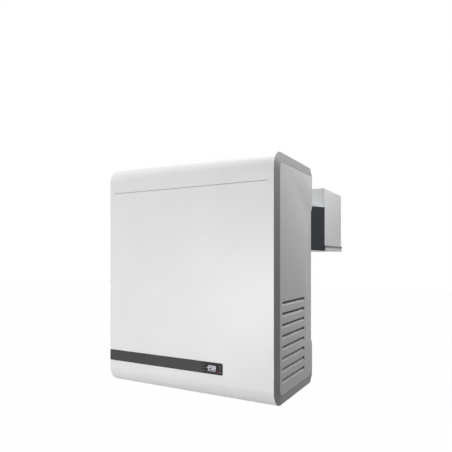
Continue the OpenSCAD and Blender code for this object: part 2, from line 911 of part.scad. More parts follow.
module fan_shroud() {
  low_y = cond_y - cond_len / 2;
  high_y = cond_y + cond_len / 2;
  high_z = cond_low_z + cond_h;
  collar_t = 2.5;
  arm_w = 9;
  arm_count = 4;
  color("dimgray") {
    difference() {
      union() {
        block([shroud_x, low_y, cond_low_z], [cond_x, high_y, high_z]);
        rod_x(cond_collar_x, shroud_x + shroud_t, cond_y, cond_fan_z, cond_ring_r + collar_t);
      }
      block([shroud_x + shroud_t, low_y + shroud_t, cond_low_z + shroud_t],
        [cond_x + overrun, high_y - shroud_t, high_z - shroud_t]);
      rod_x(cond_collar_x - overrun, cond_x, cond_y, cond_fan_z, cond_ring_r);
    }
    difference() {
      translate([cond_collar_x, cond_y, cond_fan_z]) {
        for (i = [0:arm_count - 1])
          rotate([i * 360 / arm_count, 0, 0])
            block([0, 0, -arm_w / 2], [cond_arm_t, cond_ring_r + collar_t / 2, arm_w / 2]);
        rod_x(0, cond_arm_t, 0, 0, motor_r + collar_t);
      }
      rod_x(cond_collar_x - overrun, cond_collar_x + 2 * cond_arm_t, cond_y, cond_fan_z, motor_r + run_gap);
    }
  }
}

// A fan motor along Z whose front face is at the origin, with the bore that its shaft turns in
module motor(r, length, bore_deep) {
  cap_share = 0.7;
  cap_len = 10;
  difference() {
    union() {
      translate([0, 0, cap_len - length]) cylinder(h = length - cap_len, r = r);
      translate([0, 0, -length]) cylinder(h = length, r = r * cap_share);
    }
    translate([0, 0, -bore_deep]) cylinder(h = bore_deep + overrun, r = fan_shaft_r + run_gap);
  }
}

// A fan along Z: its hub's back face is at the origin and its shaft reaches down into the motor
module fan(r, deep, count, pitch, shaft_len) {
  blade_t = 2;
  chord = r * 0.72;
  cylinder(h = deep, r = fan_hub_r);
  translate([0, 0, -shaft_len]) cylinder(h = shaft_len + overrun, r = fan_shaft_r);
  intersection() {
    cylinder(h = deep, r = r);
    union() for (i = [0:count - 1])
      rotate([0, 0, i * 360 / count]) translate([fan_hub_r - 2, 0, deep / 2]) rotate([pitch, 0, 0])
        translate([0, -chord / 2, -blade_t / 2]) cube([r, chord, blade_t]);
  }
}

module condenser_fan_motor() {
  color("black") translate([cond_motor_x, cond_y, cond_fan_z]) rotate([0, 90, 0])
    motor(motor_r, motor_len, shaft_grip + shaft_room);
}

module condenser_fan_blade() {
  color("black") translate([cond_motor_x + motor_gap, cond_y, cond_fan_z]) rotate([0, 90, 0])
    fan(cond_blade_r, cond_blade_deep, fan_blades, cond_blade_pitch, shaft_grip + motor_gap);
}

// Refrigerant line

module filter_drier() {
  high = drier_low_z + drier_len;
  color("goldenrod") {
    rod_z(drier_low_z + drier_taper, high - drier_taper, drier_x, drier_y, drier_r);
    translate([drier_x, drier_y, drier_low_z]) cylinder(h = drier_taper, r1 = pipe_r, r2 = drier_r);
    translate([drier_x, drier_y, high - drier_taper]) cylinder(h = drier_taper, r1 = drier_r, r2 = pipe_r);
  }
}

// The capillary tube: its turns as one ring, its lead and its run to the evaporator
module capillary_coil() {
  turns_w = 4 * cap_tube_r;
  top = cap_low_z + cap_turns_h - cap_tube_r;
  rise_x = cap_x - cap_ring_r;
  bend = 8;
  reducer_len = 8;
  inlet_y = coil_y + evap_pitch / 2;
  color("peru") {
    translate([cap_x, cap_y, cap_low_z]) rotate_extrude()
      translate([cap_ring_r - turns_w / 2, 0]) square([turns_w, cap_turns_h]);
    rod_z(top, drier_low_z, drier_x, drier_y, cap_tube_r);
    pipe([[rise_x, cap_y, top], [rise_x, cap_y, line_z], [liquid_x, cap_y, line_z],
      [liquid_x, cap_y, pipe_z], [liquid_x, evap_line_y, pipe_z],
      [liquid_x, evap_line_y, evap_tube_low_z], [evap_line_x, evap_line_y, evap_tube_low_z],
      [evap_line_x, inlet_y, evap_tube_low_z],
      [evap_end_x - reducer_len, inlet_y, evap_tube_low_z]], cap_tube_r, cap_tube_r / 2, bend);
    rod_x(evap_end_x - reducer_len, evap_end_x, inlet_y, evap_tube_low_z, coil_tube_r);
  }
}

module discharge_pipe() {
  x = comp_x + stub_out;
  z = stub_top_z + discharge_rise;
  color("peru") pipe([[x, comp_y, stub_top_z], [x, comp_y, z], [x, discharge_y, z],
    [cond_row_x, discharge_y, z], [cond_row_x, discharge_y, cond_tube_low_z],
    [cond_row_x, cond_end_y, cond_tube_low_z]], pipe_r, pipe_wall, discharge_bend);
}

module liquid_pipe() {
  x = cond_row_x + coil_pitch;
  color("peru") pipe([[x, cond_end_y, cond_tube_low_z], [x, line_y, cond_tube_low_z], [x, line_y, line_z],
    [drier_x, line_y, line_z], [drier_x, line_y, drier_low_z + drier_len]], pipe_r, pipe_wall, pipe_bend);
}

module suction_pipe() {
  x = comp_x - stub_out;
  z = stub_top_z + suction_rise;
  row_y = coil_y + evap_pitch * (evap_rows - 1 / 2);
  color("peru") pipe([[x, comp_y, stub_top_z], [x, comp_y, z], [x, suction_y, z],
    [suction_x, suction_y, z], [suction_x, suction_y, pipe_z], [suction_x, suction_line_y, pipe_z],
    [evap_line_x, suction_line_y, pipe_z], [evap_line_x, row_y, pipe_z],
    [evap_line_x, row_y, evap_tube_low_z], [evap_end_x, row_y, evap_tube_low_z]],
    pipe_r, pipe_wall, suction_bend);
}

// Electrical parts

module electrical_box() {
  color("lightgray") difference() {
    block([elec_x, elec_front, elec_z], [elec_x + elec_w, elec_front + elec_d, elec_z + elec_h]);
    block([elec_x + elec_t, elec_front - overrun, elec_z + elec_t],
      [elec_x + elec_w - elec_t, elec_front + elec_d - elec_t, elec_z + elec_h - elec_t]);
  }
}

module electrical_lid() {
  rib = 6;
  color("gainsboro") {
    block([elec_x, elec_front - elec_t, elec_z], [elec_x + elec_w, elec_front, elec_z + elec_h]);
    difference() {
      block([elec_x + elec_t + fit_gap, elec_front, elec_z + elec_t + fit_gap],
        [elec_x + elec_w - elec_t - fit_gap, elec_front + rib, elec_z + elec_h - elec_t - fit_gap]);
      block([elec_x + 2 * elec_t + fit_gap, elec_front - overrun, elec_z + 2 * elec_t + fit_gap],
        [elec_x + elec_w - 2 * elec_t - fit_gap, elec_front + rib + overrun,
          elec_z + elec_h - 2 * elec_t - fit_gap]);
    }
  }
}

module terminal_block() {
  ways = 8;
  pitch = 16;
  h = 34;
  deep = 24;
  wall = 3;
  wire_r = 3;
  screw_r = 2.5;
  back = elec_front + elec_d - elec_t;
  left = elec_x + (elec_w - ways * pitch) / 2;
  low = elec_z + elec_h / 4;
  color("ivory") difference() {
    block([left, back - deep, low], [left + ways * pitch, back, low + h]);
    for (i = [0:ways - 1]) {
      x = left + (i + 0.5) * pitch;
      rod_z(low - overrun, low + h + overrun, x, back - deep / 3, wire_r);
      rod_y(back - deep - overrun, back - deep + wall, x, low + h / 2, screw_r);
    }
  }
}

// The mains inlet's gland, through the base tray
module cable_gland() {
  nut_r = gland_r + 3;
  nut_t = 5;
  cap_len = gland_len - 12;
  color("black") translate([gland_x, gland_y, 0]) difference() {
    union() {
      translate([0, 0, base_z - cap_len]) cylinder(h = gland_len, r = gland_r);
      translate([0, 0, base_z - nut_t]) cylinder(h = nut_t, r = nut_r, $fn = 6);
      translate([0, 0, deck_z]) cylinder(h = nut_t, r = nut_r, $fn = 6);
    }
    translate([0, 0, base_z - cap_len - overrun])
      cylinder(h = gland_len + 2 * overrun, r = gland_bore_r);
  }
}

// Plug through the wall

module cheek_holes() {
  for (hole = cheek_hole_shares)
    rod_x(sleeve_half - cheek_hole_deep, plug_half + overrun, plug_d - cheek_hole_set,
      plug_z + hole[0] * plug_h, hole[1] * plug_h);
}

module plug_core() {
  half = sleeve_half - sleeve_t;
  lip_half = chassis_half - 4;
  color("whitesmoke") difference() {
    union() {
      block([-half, rear_face_in, plug_z + sleeve_t], [half, plug_d, plug_top_z - sleeve_t]);
      block([-lip_half, -plug_inner, plug_z - plug_lip], [lip_half, rear_face_in, plug_top_z + plug_lip]);
    }
    for (x = [suction_x, liquid_x])
      rod_y(-plug_inner - overrun, plug_d + overrun, x, pipe_z, pipe_r + passage_gap);
    both_sides() cheek_holes();
  }
}

module plug_sleeve() {
  color("silver") difference() {
    block([-sleeve_half, rear_face_in, plug_z], [sleeve_half, plug_d, plug_top_z]);
    block([-sleeve_half + sleeve_t, rear_face_in - overrun, plug_z + sleeve_t],
      [sleeve_half - sleeve_t, plug_d + overrun, plug_top_z - sleeve_t]);
    both_sides() cheek_holes();
  }
}

module plug_cheek_right() {
  color("darkslategray") difference() {
    along_x(sleeve_half, plug_half) polygon([
      [fit_gap, plug_z + fit_gap], [plug_d, plug_z + fit_gap], [plug_d, plug_top_z],
      [fit_gap, plug_top_z - cheek_slope]
    ]);
    cheek_holes();
  }
}

module plug_cheek_left() {
  mirror([1, 0, 0]) plug_cheek_right();
}

module wall_gasket() {
  half = rear_half - 1;
  color("black") difference() {
    block([-half, 0, plug_z - gasket_w], [half, gasket_t, plug_top_z + gasket_w]);
    block([-plug_half - fit_gap, -overrun, plug_z - fit_gap],
      [plug_half + fit_gap, gasket_t + overrun, plug_top_z + fit_gap]);
  }
}

// Evaporator section

// The sheet screws of the right side plate, as places in Y and Z
function side_screws() = [
  for (share = [0, 0.5, 1])
    [evap_y + screw_set + share * (evap_d - 2 * screw_set), evap_top_z - evap_t - screw_set]
];

module side_screw_holes() {
  for (p = side_screws())
    rod_x(evap_half - 3 * overrun, evap_half + overrun, p[0], p[1], sheet_screw_r + run_gap);
}

module sheet_screws() {
  color("gray") both_sides() for (p = side_screws()) {
    rod_x(evap_half - 3 * evap_t - 2, evap_half, p[0], p[1], sheet_screw_r);
    rod_x(evap_half, evap_half + sheet_head_t, p[0], p[1], sheet_head_r);
  }
}

module evaporator_side_right() {
  fold = 14;
  tab_r = 6.5;
  low = tray_top_z + 1;
  high = evap_top_z - evap_t;
  color("lightgray") difference() {
    union() {
      along_x(evap_half - evap_t, evap_half) {
        translate([evap_y, low]) square([evap_d, high - low]);
        translate([hinge_y - tab_r, hinge_z]) square([evap_back_y - hinge_y + tab_r, low - hinge_z + 1]);
        translate([hinge_y, hinge_z]) circle(tab_r);
      }
      block([evap_half - fold, evap_y + evap_t, low], [evap_half, evap_y + 2 * evap_t, high]);
    }
    rod_x(evap_half - overrun, evap_half + overrun, hinge_y, hinge_z, tray_pin_r + run_gap);
    side_screw_holes();
  }
}

module evaporator_side_left() {
  mirror([1, 0, 0]) evaporator_side_right();
}

module evaporator_top_cover() {
  fold = 18;
  inner = evap_half - evap_t;
  color("lightgray") difference() {
    union() {
      block([-evap_half, evap_y, evap_top_z - evap_t], [evap_half, evap_back_y, evap_top_z]);
      both_sides()
        block([inner - evap_t, evap_y + 2 * evap_t, evap_top_z - fold], [inner, fan_panel_y, evap_top_z]);
    }
    both_sides() side_screw_holes();
  }
}

// The face towards the wall, with the slots through which the room's air comes in
module evaporator_front_panel() {
  half = evap_half - evap_t;
  slot_w = 14;
  slot_pitch = 20;
  slot_side = 130;
  slot_count = 2 * floor((half - slot_side) / slot_pitch) + 1;
  slot_edge = 8;
  color("lightgray") difference() {
    block([-half, evap_y, plug_z + fit_gap], [half, evap_y + evap_t, evap_top_z - evap_t]);
    for (i = [0:slot_count - 1]) {
      x = (i - (slot_count - 1) / 2) * slot_pitch;
      block([x - slot_w / 2, evap_y - overrun, plug_top_z + slot_edge],
        [x + slot_w / 2, evap_y + overrun, evap_top_z - 2 * slot_edge]);
    }
    for (x = [suction_x, liquid_x])
      rod_y(evap_y - overrun, evap_y + overrun, x, pipe_z, pipe_r + passage_gap);
  }
}

// The face towards the room, with the fans' collars and the arms that carry the motors
module evaporator_fan_panel() {
  half = evap_half - evap_t;
  collar_y = fan_panel_y - ring_deep;
  collar_t = 1.5;
  arm_w = 8;
  arm_t = 4;
  arm_count = 3;
  color("lightgray") difference() {
    union() {
      block([-half, fan_panel_y, plate_low_z], [half, evap_back_y, evap_top_z - evap_t]);
      for (side = [-1, 1])
        translate([side * evap_fan_pitch / 2, collar_y, evap_fan_z]) {
          rod_y(0, ring_deep, 0, 0, evap_ring_r + collar_t);
        }
    }
    for (side = [-1, 1])
      rod_y(collar_y - overrun, evap_back_y + overrun, side * evap_fan_pitch / 2, evap_fan_z, evap_ring_r);
  }
  color("lightgray") for (side = [-1, 1])
    translate([side * evap_fan_pitch / 2, collar_y, evap_fan_z]) difference() {
      union() {
        for (i = [0:arm_count - 1])
          rotate([0, 30 + i * 360 / arm_count, 0])
            block([0, -arm_t, -arm_w / 2], [evap_ring_r + collar_t, 0, arm_w / 2]);
        rod_y(-arm_t, 0, 0, 0, evap_motor_r + collar_t);
      }
      rod_y(-2 * arm_t, arm_t, 0, 0, evap_motor_r + run_gap);
    }
}

module evaporator_fan_places(side) {
  translate([side * evap_fan_pitch / 2, fan_panel_y - ring_deep, evap_fan_z]) rotate([-90, 0, 0]) children();
}

module evaporator_fan_motors() {
  color("black") for (side = [-1, 1])
    evaporator_fan_places(side) motor(evap_motor_r, evap_motor_len, shaft_grip + shaft_room);
}

module evaporator_fan_blade_right() {
  color("dimgray") evaporator_fan_places(1) translate([0, 0, motor_gap])
    fan(evap_blade_r, ring_deep - motor_gap, fan_blades, evap_blade_pitch, shaft_grip + motor_gap);
}

module evaporator_fan_blade_left() {
  color("dimgray") evaporator_fan_places(-1) translate([0, 0, motor_gap])
    fan(evap_blade_r, ring_deep - motor_gap, fan_blades, evap_blade_pitch, shaft_grip + motor_gap);
}

// A guard over each fan: rings on four spokes, as bars of a square section
module evaporator_fan_guards() {
  spokes = 4;
  outer = evap_ring_r + guard_reach;
  inner_share = 0.2;
  spoke_end = 2;
  boss_r = 8;
  spoke_y = evap_back_y + guard_wire;
  ring_y = evap_back_y + 2 * guard_wire;
  color("gray") for (side = [-1, 1])
    translate([side * evap_fan_pitch / 2, 0, evap_fan_z]) {
      for (i = [0:guard_rings - 1]) {
        r = outer * (inner_share + (1 - inner_share) * i / (guard_rings - 1));
        difference() {
          rod_y(spoke_y, ring_y, 0, 0, r + guard_wire / 2);
          rod_y(spoke_y - overrun, ring_y + overrun, 0, 0, r - guard_wire / 2);
        }
      }
      rod_y(evap_back_y, ring_y, 0, 0, boss_r);
      for (i = [0:spokes - 1])
        rotate([0, i * 180 / spokes, 0])
          block([-outer - spoke_end, evap_back_y, -guard_wire / 2],
            [outer + spoke_end, spoke_y + guard_wire / 2, guard_wire / 2]);
    }
}

module drip_tray() {
  out = tray_in + evap_t;
  wall_low = 6;
  front_half = evap_half - evap_t - 2;
  color("lightgray") difference() {
    union() {
      block([-out, tray_front_y, evap_z], [out, tray_back_y, evap_z + evap_t]);
      both_sides() {
        block([tray_in, tray_front_y, evap_z], [out, tray_back_y, tray_top_z]);
        block([tray_in, tray_front_y, tray_top_z - tray_rim],
          [out + evap_t, tray_back_y + evap_t, tray_top_z]);
      }
      block([-out, tray_back_y - evap_t, evap_z], [out, tray_back_y, tray_top_z]);
      block([-out, tray_back_y - evap_t, tray_top_z - tray_rim], [out, tray_back_y + evap_t, tray_top_z]);
      block([-out, tray_front_y, evap_z], [out, tray_front_y + evap_t, evap_z + wall_low]);
      block([-front_half, tray_front_y, evap_z], [front_half, tray_front_y + evap_t, tray_top_z]);
    }
    both_sides()
      rod_x(tray_in - overrun, out + overrun, hinge_y, hinge_z, tray_pin_r + run_gap);
    rod_z(evap_z - overrun, evap_z + overrun, drain_x, drain_y, drain_r - 2);
  }
}

// A short pipe under the tray that a drain hose pushes on to
module tray_spigot() {
  flange_t = 2;
  color("whitesmoke") difference() {
    union() {
      rod_z(evap_z - drain_drop, evap_z, drain_x, drain_y, drain_r);
      rod_z(evap_z - flange_t, evap_z, drain_x, drain_y, drain_r + 2 * flange_t);
    }
    rod_z(evap_z - drain_drop - overrun, evap_z + overrun, drain_x, drain_y, drain_r - 2);
  }
}

module tray_hinge_pins() {
  head_r = tray_pin_r + 2;
  head_t = 1.4;
  color("gray") both_sides() {
    rod_x(evap_half - evap_t - head_t, evap_half - evap_t, hinge_y, hinge_z, head_r);
    rod_x(evap_half - evap_t, tray_in + evap_t + fit_gap, hinge_y, hinge_z, tray_pin_r);
    rod_x(tray_in + evap_t + fit_gap, tray_in + evap_t + fit_gap + head_t, hinge_y, hinge_z, head_r);
  }
}

module evaporator_fins() {
  count = floor(2 * coil_half / evap_fin_pitch);
  color("lightgray") for (i = [0:count]) {
    x = (i - count / 2) * evap_fin_pitch;
    along_x(x - fin_t / 2, x + fin_t / 2) difference() {
      translate([coil_y, coil_low_z]) square([coil_t, coil_h]);
      for (row = [0:evap_rows - 1], level = [0:evap_count - 1])
        translate([coil_y + (row + 0.5) * evap_pitch, coil_low_z + (level + 0.5) * evap_pitch])
          circle(coil_tube_r + run_gap);
    }
  }
}

module evaporator_tubes() {
  points = [for (p = coil_points(evap_corner, evap_rows, evap_count, evap_pitch))
    [-p[0], coil_y + evap_pitch / 2 + p[1], evap_tube_low_z + p[2]]];
  color("peru") pipe(points, coil_tube_r, tube_wall, evap_bend);
}

base_tray();
rear_panel();
top_panel();
front_cover();
cover_screws();
front_strip();
side_bezel_right();
side_bezel_left();
side_panel_right();
side_panel_left();
divider_shelf();
controller_bracket();
controller_case();
display_frame();
display_window();
key(0);  // key_1
key(1);  // key_2
key(2);  // key_3
key(3);  // key_4
key(4);  // key_5
key(5);  // key_6
compressor_shell();
compressor_base();
compressor_grommets();
compressor_bolts();
compressor_terminal_cover();
condenser_fins();
condenser_tubes();
fan_shroud();
condenser_fan_motor();
condenser_fan_blade();
filter_drier();
capillary_coil();
discharge_pipe();
liquid_pipe();
suction_pipe();
electrical_box();
electrical_lid();
terminal_block();
cable_gland();
plug_core();
plug_sleeve();
plug_cheek_right();
plug_cheek_left();
wall_gasket();
evaporator_side_right();
evaporator_side_left();
evaporator_top_cover();
evaporator_front_panel();
evaporator_fan_panel();
drip_tray();
tray_hinge_pins();
evaporator_fins();
evaporator_tubes();
evaporator_fan_motors();
evaporator_fan_blade_right();
evaporator_fan_blade_left();
evaporator_fan_guards();
tray_spigot();
sheet_screws();
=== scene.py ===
"""A wall-mounted monoblock refrigeration unit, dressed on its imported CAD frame.

Sizes are in millimetres until a mesh is made, and +Y points through the wall into the room.
"""

import json
import math

import bmesh
import bpy
from mathutils import Matrix, Vector

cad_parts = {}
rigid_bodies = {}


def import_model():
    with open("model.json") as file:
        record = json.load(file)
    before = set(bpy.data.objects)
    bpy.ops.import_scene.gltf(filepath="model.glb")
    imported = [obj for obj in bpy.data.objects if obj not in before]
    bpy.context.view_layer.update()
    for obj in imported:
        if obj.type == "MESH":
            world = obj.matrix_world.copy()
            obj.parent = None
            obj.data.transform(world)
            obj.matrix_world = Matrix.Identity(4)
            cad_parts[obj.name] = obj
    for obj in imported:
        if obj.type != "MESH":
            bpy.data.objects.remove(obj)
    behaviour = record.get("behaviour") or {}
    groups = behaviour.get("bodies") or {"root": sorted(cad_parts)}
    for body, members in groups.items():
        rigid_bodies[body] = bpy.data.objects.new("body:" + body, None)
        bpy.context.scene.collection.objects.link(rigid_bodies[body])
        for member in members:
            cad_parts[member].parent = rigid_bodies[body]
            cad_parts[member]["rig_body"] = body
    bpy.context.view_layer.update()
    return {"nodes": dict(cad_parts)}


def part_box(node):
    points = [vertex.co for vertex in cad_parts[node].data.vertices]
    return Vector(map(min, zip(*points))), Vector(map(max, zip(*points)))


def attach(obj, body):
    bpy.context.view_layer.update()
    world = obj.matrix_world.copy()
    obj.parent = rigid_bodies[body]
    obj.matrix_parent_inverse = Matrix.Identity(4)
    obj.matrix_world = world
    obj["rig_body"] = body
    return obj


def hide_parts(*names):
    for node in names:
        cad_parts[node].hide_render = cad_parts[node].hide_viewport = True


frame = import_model()

MM = 0.001
SMOOTH_BELOW = math.radians(32)


# Small tools


def linear(text, alpha=1.0):
    """An sRGB hex colour, such as "E0E0E0", as linear values."""
    values = []
    for i in (0, 2, 4):
        share = int(text[i : i + 2], 16) / 255
        values.append(share / 12.92 if share <= 0.04045 else ((share + 0.055) / 1.055) ** 2.4)
    return (*values, alpha)


def add(tree, kind, links=None, **settings):
    """Adds one node, sets its properties, and feeds its inputs with values or other nodes' sockets."""
    made = tree.nodes.new(kind)
    for name, value in settings.items():
        setattr(made, name, value)
    for key, value in (links or {}).items():
        if isinstance(value, bpy.types.NodeSocket):
            tree.links.new(value, made.inputs[key])
        else:
            made.inputs[key].default_value = value
    return made


def span(node):
    """The lowest and highest corner of a CAD node, in millimetres."""
    low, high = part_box(node)
    return Vector(low) / MM, Vector(high) / MM


# Materials


def surface(name, tones, roughness, metallic=0.0, grain_mm=1.0, bump_mm=0.0, cloud_mm=120.0,
            spread=0.04, stretch=(1, 1, 1), cells=False, **sockets):
    """A finish of two close tones in broad clouds, with a fine grain in its gloss and its relief."""
    made = bpy.data.materials.new(name)
    made.use_nodes = True
    tree = made.node_tree
    shader = tree.nodes["Principled BSDF"]
    place = add(tree, "ShaderNodeTexCoord").outputs["Object"]
    turned = add(tree, "ShaderNodeMapping", {"Vector": place, "Scale": stretch}).outputs["Vector"]
    cloud = add(tree, "ShaderNodeTexNoise", {"Vector": place, "Scale": 1 / (cloud_mm * MM), "Detail": 3.0})
    if cells:
        grain = add(tree, "ShaderNodeTexVoronoi", {"Vector": turned, "Scale": 1 / (grain_mm * MM)})
        fine = add(tree, "ShaderNodeSeparateColor", {"Color": grain.outputs["Color"]}).outputs["Red"]
        relief = grain.outputs["Distance"]
        tone = fine
    else:
        grain = add(tree, "ShaderNodeTexNoise", {"Vector": turned, "Scale": 1 / (grain_mm * MM),
                                                 "Detail": 2.0})
        fine = relief = grain.outputs["Fac"]
        tone = cloud.outputs["Fac"]
    ramp = add(tree, "ShaderNodeValToRGB", {"Fac": tone})
    ramp.color_ramp.elements[0].position = 0.3
    ramp.color_ramp.elements[1].position = 0.7
    ramp.color_ramp.elements[0].color = linear(tones[0])
    ramp.color_ramp.elements[1].color = linear(tones[1])
    gloss = add(tree, "ShaderNodeMapRange", {
        "Value": fine, "From Min": 0.25, "From Max": 0.75,
        "To Min": max(0.0, roughness - spread), "To Max": min(1.0, roughness + spread),
    })
    tree.links.new(ramp.outputs["Color"], shader.inputs["Base Color"])
    tree.links.new(gloss.outputs["Result"], shader.inputs["Roughness"])
    shader.inputs["Metallic"].default_value = metallic
    if bump_mm:
        bump = add(tree, "ShaderNodeBump", {"Height": relief, "Distance": bump_mm * MM, "Strength": 0.6})
        tree.links.new(bump.outputs["Normal"], shader.inputs["Normal"])
    for key, value in sockets.items():
        shader.inputs[key.replace("_", " ")].default_value = value
    return made


def lamp_surface(name, tone, strength):
    """A lit display element: its own light over a faintly clouded moulding."""
    made = surface(name, (tone, tone), 0.4)
    shader = made.node_tree.nodes["Principled BSDF"]
    shader.inputs["Emission Color"].default_value = linear(tone)
    shader.inputs["Emission Strength"].default_value = strength
    return made


# Polyester powder coat, baked on steel: even colour with a faint orange peel
WHITE_COAT = surface("white polyester powder coat", ("E3E3E3", "E6E6E6"), 0.42, grain_mm=1.4, bump_mm=0.02)
GREY_COAT = surface("grey polyester powder coat", ("747577", "78797B"), 0.45, grain_mm=1.4, bump_mm=0.02)
SIDE_COAT = surface("light grey polyester powder coat", ("B4B4B6", "B8B8BA"), 0.48, grain_mm=1.4,
                    bump_mm=0.02)
EVAPORATOR_COAT = surface("pale grey polyester powder coat", ("C4C4C6", "C8C8CA"), 0.45, grain_mm=1.4,
                          bump_mm=0.02)
# White laminate over the evaporator's insulated front
WHITE_LAMINATE = surface("white melamine-coated sheet", ("F2F2F2", "F5F5F5"), 0.35, grain_mm=1.2,
                         bump_mm=0.008)
# Dark pre-painted sheet of the plug's cheeks: slate blue, nearly matt
SLATE_COAT = surface("slate pre-painted sheet", ("14181F", "171B22"), 0.65, grain_mm=1.2, bump_mm=0.015,
                      Specular_IOR_Level=0.1)
# Hot-dip galvanised sheet: spangle in patches of about 9 mm that differ in gloss
GALVANISED = surface("hot-dip galvanised steel sheet", ("AEB1B3", "BCBFC1"), 0.42, metallic=0.8,
                     grain_mm=8, spread=0.06, cells=True)
# Zinc-plated fasteners: bright and slightly cool
ZINC = surface("bright zinc-plated steel", ("B9BBBE", "C6C8CA"), 0.3, metallic=1.0, grain_mm=0.8,
               cloud_mm=6)
# Drawn steel wire with a grey coat, as on a fan guard
GUARD_COAT = surface("grey-coated steel wire", ("6C6E71", "737578"), 0.4, grain_mm=0.8, bump_mm=0.01)
# Matt film on the front: a printed polyester strip
STRIP_FILM = surface("dark grey polyester film", ("343434", "383838"), 0.6, grain_mm=0.8, bump_mm=0.008,
                     Specular_IOR_Level=0.3)
# Black ABS of the controller, fine spark-eroded texture
BLACK_ABS = surface("black moulded ABS", ("151516", "1A1A1B"), 0.5, grain_mm=0.6, bump_mm=0.01,
                    Specular_IOR_Level=0.2)
KEY_ABS = surface("grey moulded ABS keys", ("262628", "2C2C2E"), 0.55, grain_mm=0.5, bump_mm=0.01,
                  Specular_IOR_Level=0.2)
# Tinted acrylic lens: black and glossy while its display shines through
LENS = surface("smoked acrylic lens", ("08080A", "0B0B0D"), 0.12, grain_mm=3, spread=0.02)
LIT_WHITE = lamp_surface("white light-emitting segments", "F4F7FF", 0.7)
LIT_RED = lamp_surface("red light-emitting dot", "FF2A1A", 1.0)
LEGEND_INK = surface("white screen-printed ink", ("C9C9C9", "D2D2D2"), 0.6, grain_mm=0.4)
# Glass-filled nylon of fans, shroud and covers: black, dull, slightly streaked by its flow
NYLON = surface("glass-filled black nylon", ("191919", "222222"), 0.58, grain_mm=0.9, bump_mm=0.02,
                cloud_mm=40)
# Baked enamel on the compressor's drawn shell: deep black and glossy
ENAMEL = surface("black baked enamel", ("0B0B0C", "111112"), 0.25, grain_mm=2.0, bump_mm=0.015,
                 Coat_Weight=0.4)
# Cast motor housings under dull paint
MOTOR_CAST = surface("painted aluminium casting", ("1C1D1F", "27282A"), 0.6, grain_mm=1.6, bump_mm=0.05,
                     cloud_mm=30)
# Half-hard copper tube: warm, with darker bloom where it was brazed
COPPER = surface("drawn copper tube", ("A9603F", "C57F58"), 0.3, metallic=1.0, grain_mm=3, cloud_mm=35,
                 spread=0.08)
BRAZE = surface("silver-brazed joint", ("8F8268", "A79B7E"), 0.42, metallic=1.0, grain_mm=1.2, bump_mm=0.08,
                cloud_mm=5)
BRASS = surface("machined brass", ("B8954A", "C9A65B"), 0.28, metallic=1.0, grain_mm=0.8, cloud_mm=8)
# Rolled aluminium foil fins: bright edges with a drawn grain
FIN_STOCK = surface("rolled aluminium fin stock", ("C3C6C8", "D4D6D8"), 0.32, metallic=1.0, grain_mm=1.5,
                    stretch=(1, 1, 12), spread=0.1)
# Rubber and foams
NEOPRENE = surface("black neoprene", ("141414", "1B1B1B"), 0.75, grain_mm=0.7, bump_mm=0.03, cloud_mm=20)
CAP_RUBBER = surface("black EPDM blind cap", ("030303", "060606"), 0.9, grain_mm=0.8,
                     Specular_IOR_Level=0.0)
# Grey strip for the front's groove, darker than the cover to stand in for the groove's shade: painted shade
GROOVE_SHADE_GREY = surface("grey strip of painted groove shade", ("9C9C9C", "A2A2A2"), 0.55, grain_mm=0.8, bump_mm=0.02)
# Dark grey of the tray's edge trim, also standing in for the shadow under the tray's rim: a real trim with
# painted shadow
TRIM_AND_RIM_SHADE_GREY = surface("grey extruded PVC edge trim", ("5E5F61", "646567"), 0.5, grain_mm=0.8, bump_mm=0.01)
CELL_FOAM = surface("closed-cell sealing foam", ("1D1D1E", "2B2B2C"), 0.85, grain_mm=1.6, bump_mm=0.25,
                    cells=True)
PU_FOAM = surface("moulded polyurethane foam", ("D9CFA4", "E3DAB4"), 0.8, grain_mm=2.2, bump_mm=0.3,
                  cells=True)
# Electrical mouldings
GREY_ABS = surface("grey moulded ABS enclosure", ("B5B8BA", "BCBFC1"), 0.5, grain_mm=0.9, bump_mm=0.012)
CREAM_PA = surface("cream polyamide", ("D8D2BE", "E0DAC7"), 0.5, grain_mm=0.7, bump_mm=0.01)
WHITE_PVC = surface("white PVC moulding", ("D6D6D2", "DDDDDA"), 0.42, grain_mm=0.9, bump_mm=0.01)
WIRE_BROWN = surface("brown PVC wire", ("4F2A17", "5A321D"), 0.45, grain_mm=1)
WIRE_BLUE = surface("blue PVC wire", ("1D4F9C", "235AAB"), 0.45, grain_mm=1)
WIRE_GREEN = surface("green PVC wire", ("2E8540", "35934A"), 0.45, grain_mm=1)


# Making and placing pieces


def publish(name, mesh, finish, body="unit", replaces=(), edge=0.0):
    """Puts a mesh in the scene as one piece of the object, shaded, eased at its edges and riding its body."""
    if isinstance(mesh, bmesh.types.BMesh):
        shape, mesh = mesh, bpy.data.meshes.new(name)
        for line in shape.edges:
            line.smooth = len(line.link_faces) == 2 and line.calc_face_angle(0.0) < SMOOTH_BELOW
        for face in shape.faces:
            face.smooth = True
        shape.to_mesh(mesh)
        shape.free()
    mesh.name = name
    mesh.materials.clear()
    mesh.materials.append(finish)
    piece = bpy.data.objects.new(name, mesh)
    bpy.context.scene.collection.objects.link(piece)
    if edge:
        ease = piece.modifiers.new("eased edges", "BEVEL")
        ease.width = edge * MM
        ease.segments = 2
        ease.limit_method = "ANGLE"
        ease.angle_limit = SMOOTH_BELOW
        ease.use_clamp_overlap = True
        ease.harden_normals = True
    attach(piece, body)
    if replaces:
        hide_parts(*replaces)
    return piece


def merged_copy(node):
    """A CAD node's shape with its doubles merged and its flat faces whole."""
    shape = bmesh.new()
    shape.from_mesh(frame["nodes"][node].data)
    bmesh.ops.remove_doubles(shape, verts=shape.verts, dist=0.002 * MM)
    bmesh.ops.dissolve_limit(shape, angle_limit=math.radians(0.4), verts=shape.verts, edges=shape.edges)
    return shape


def dressed(node, finish, edge=0.0):
    """A CAD node as a finished piece."""
    body = frame["nodes"][node]["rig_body"]
    return publish(f"{node}_finished", merged_copy(node), finish, body, (node,), edge)


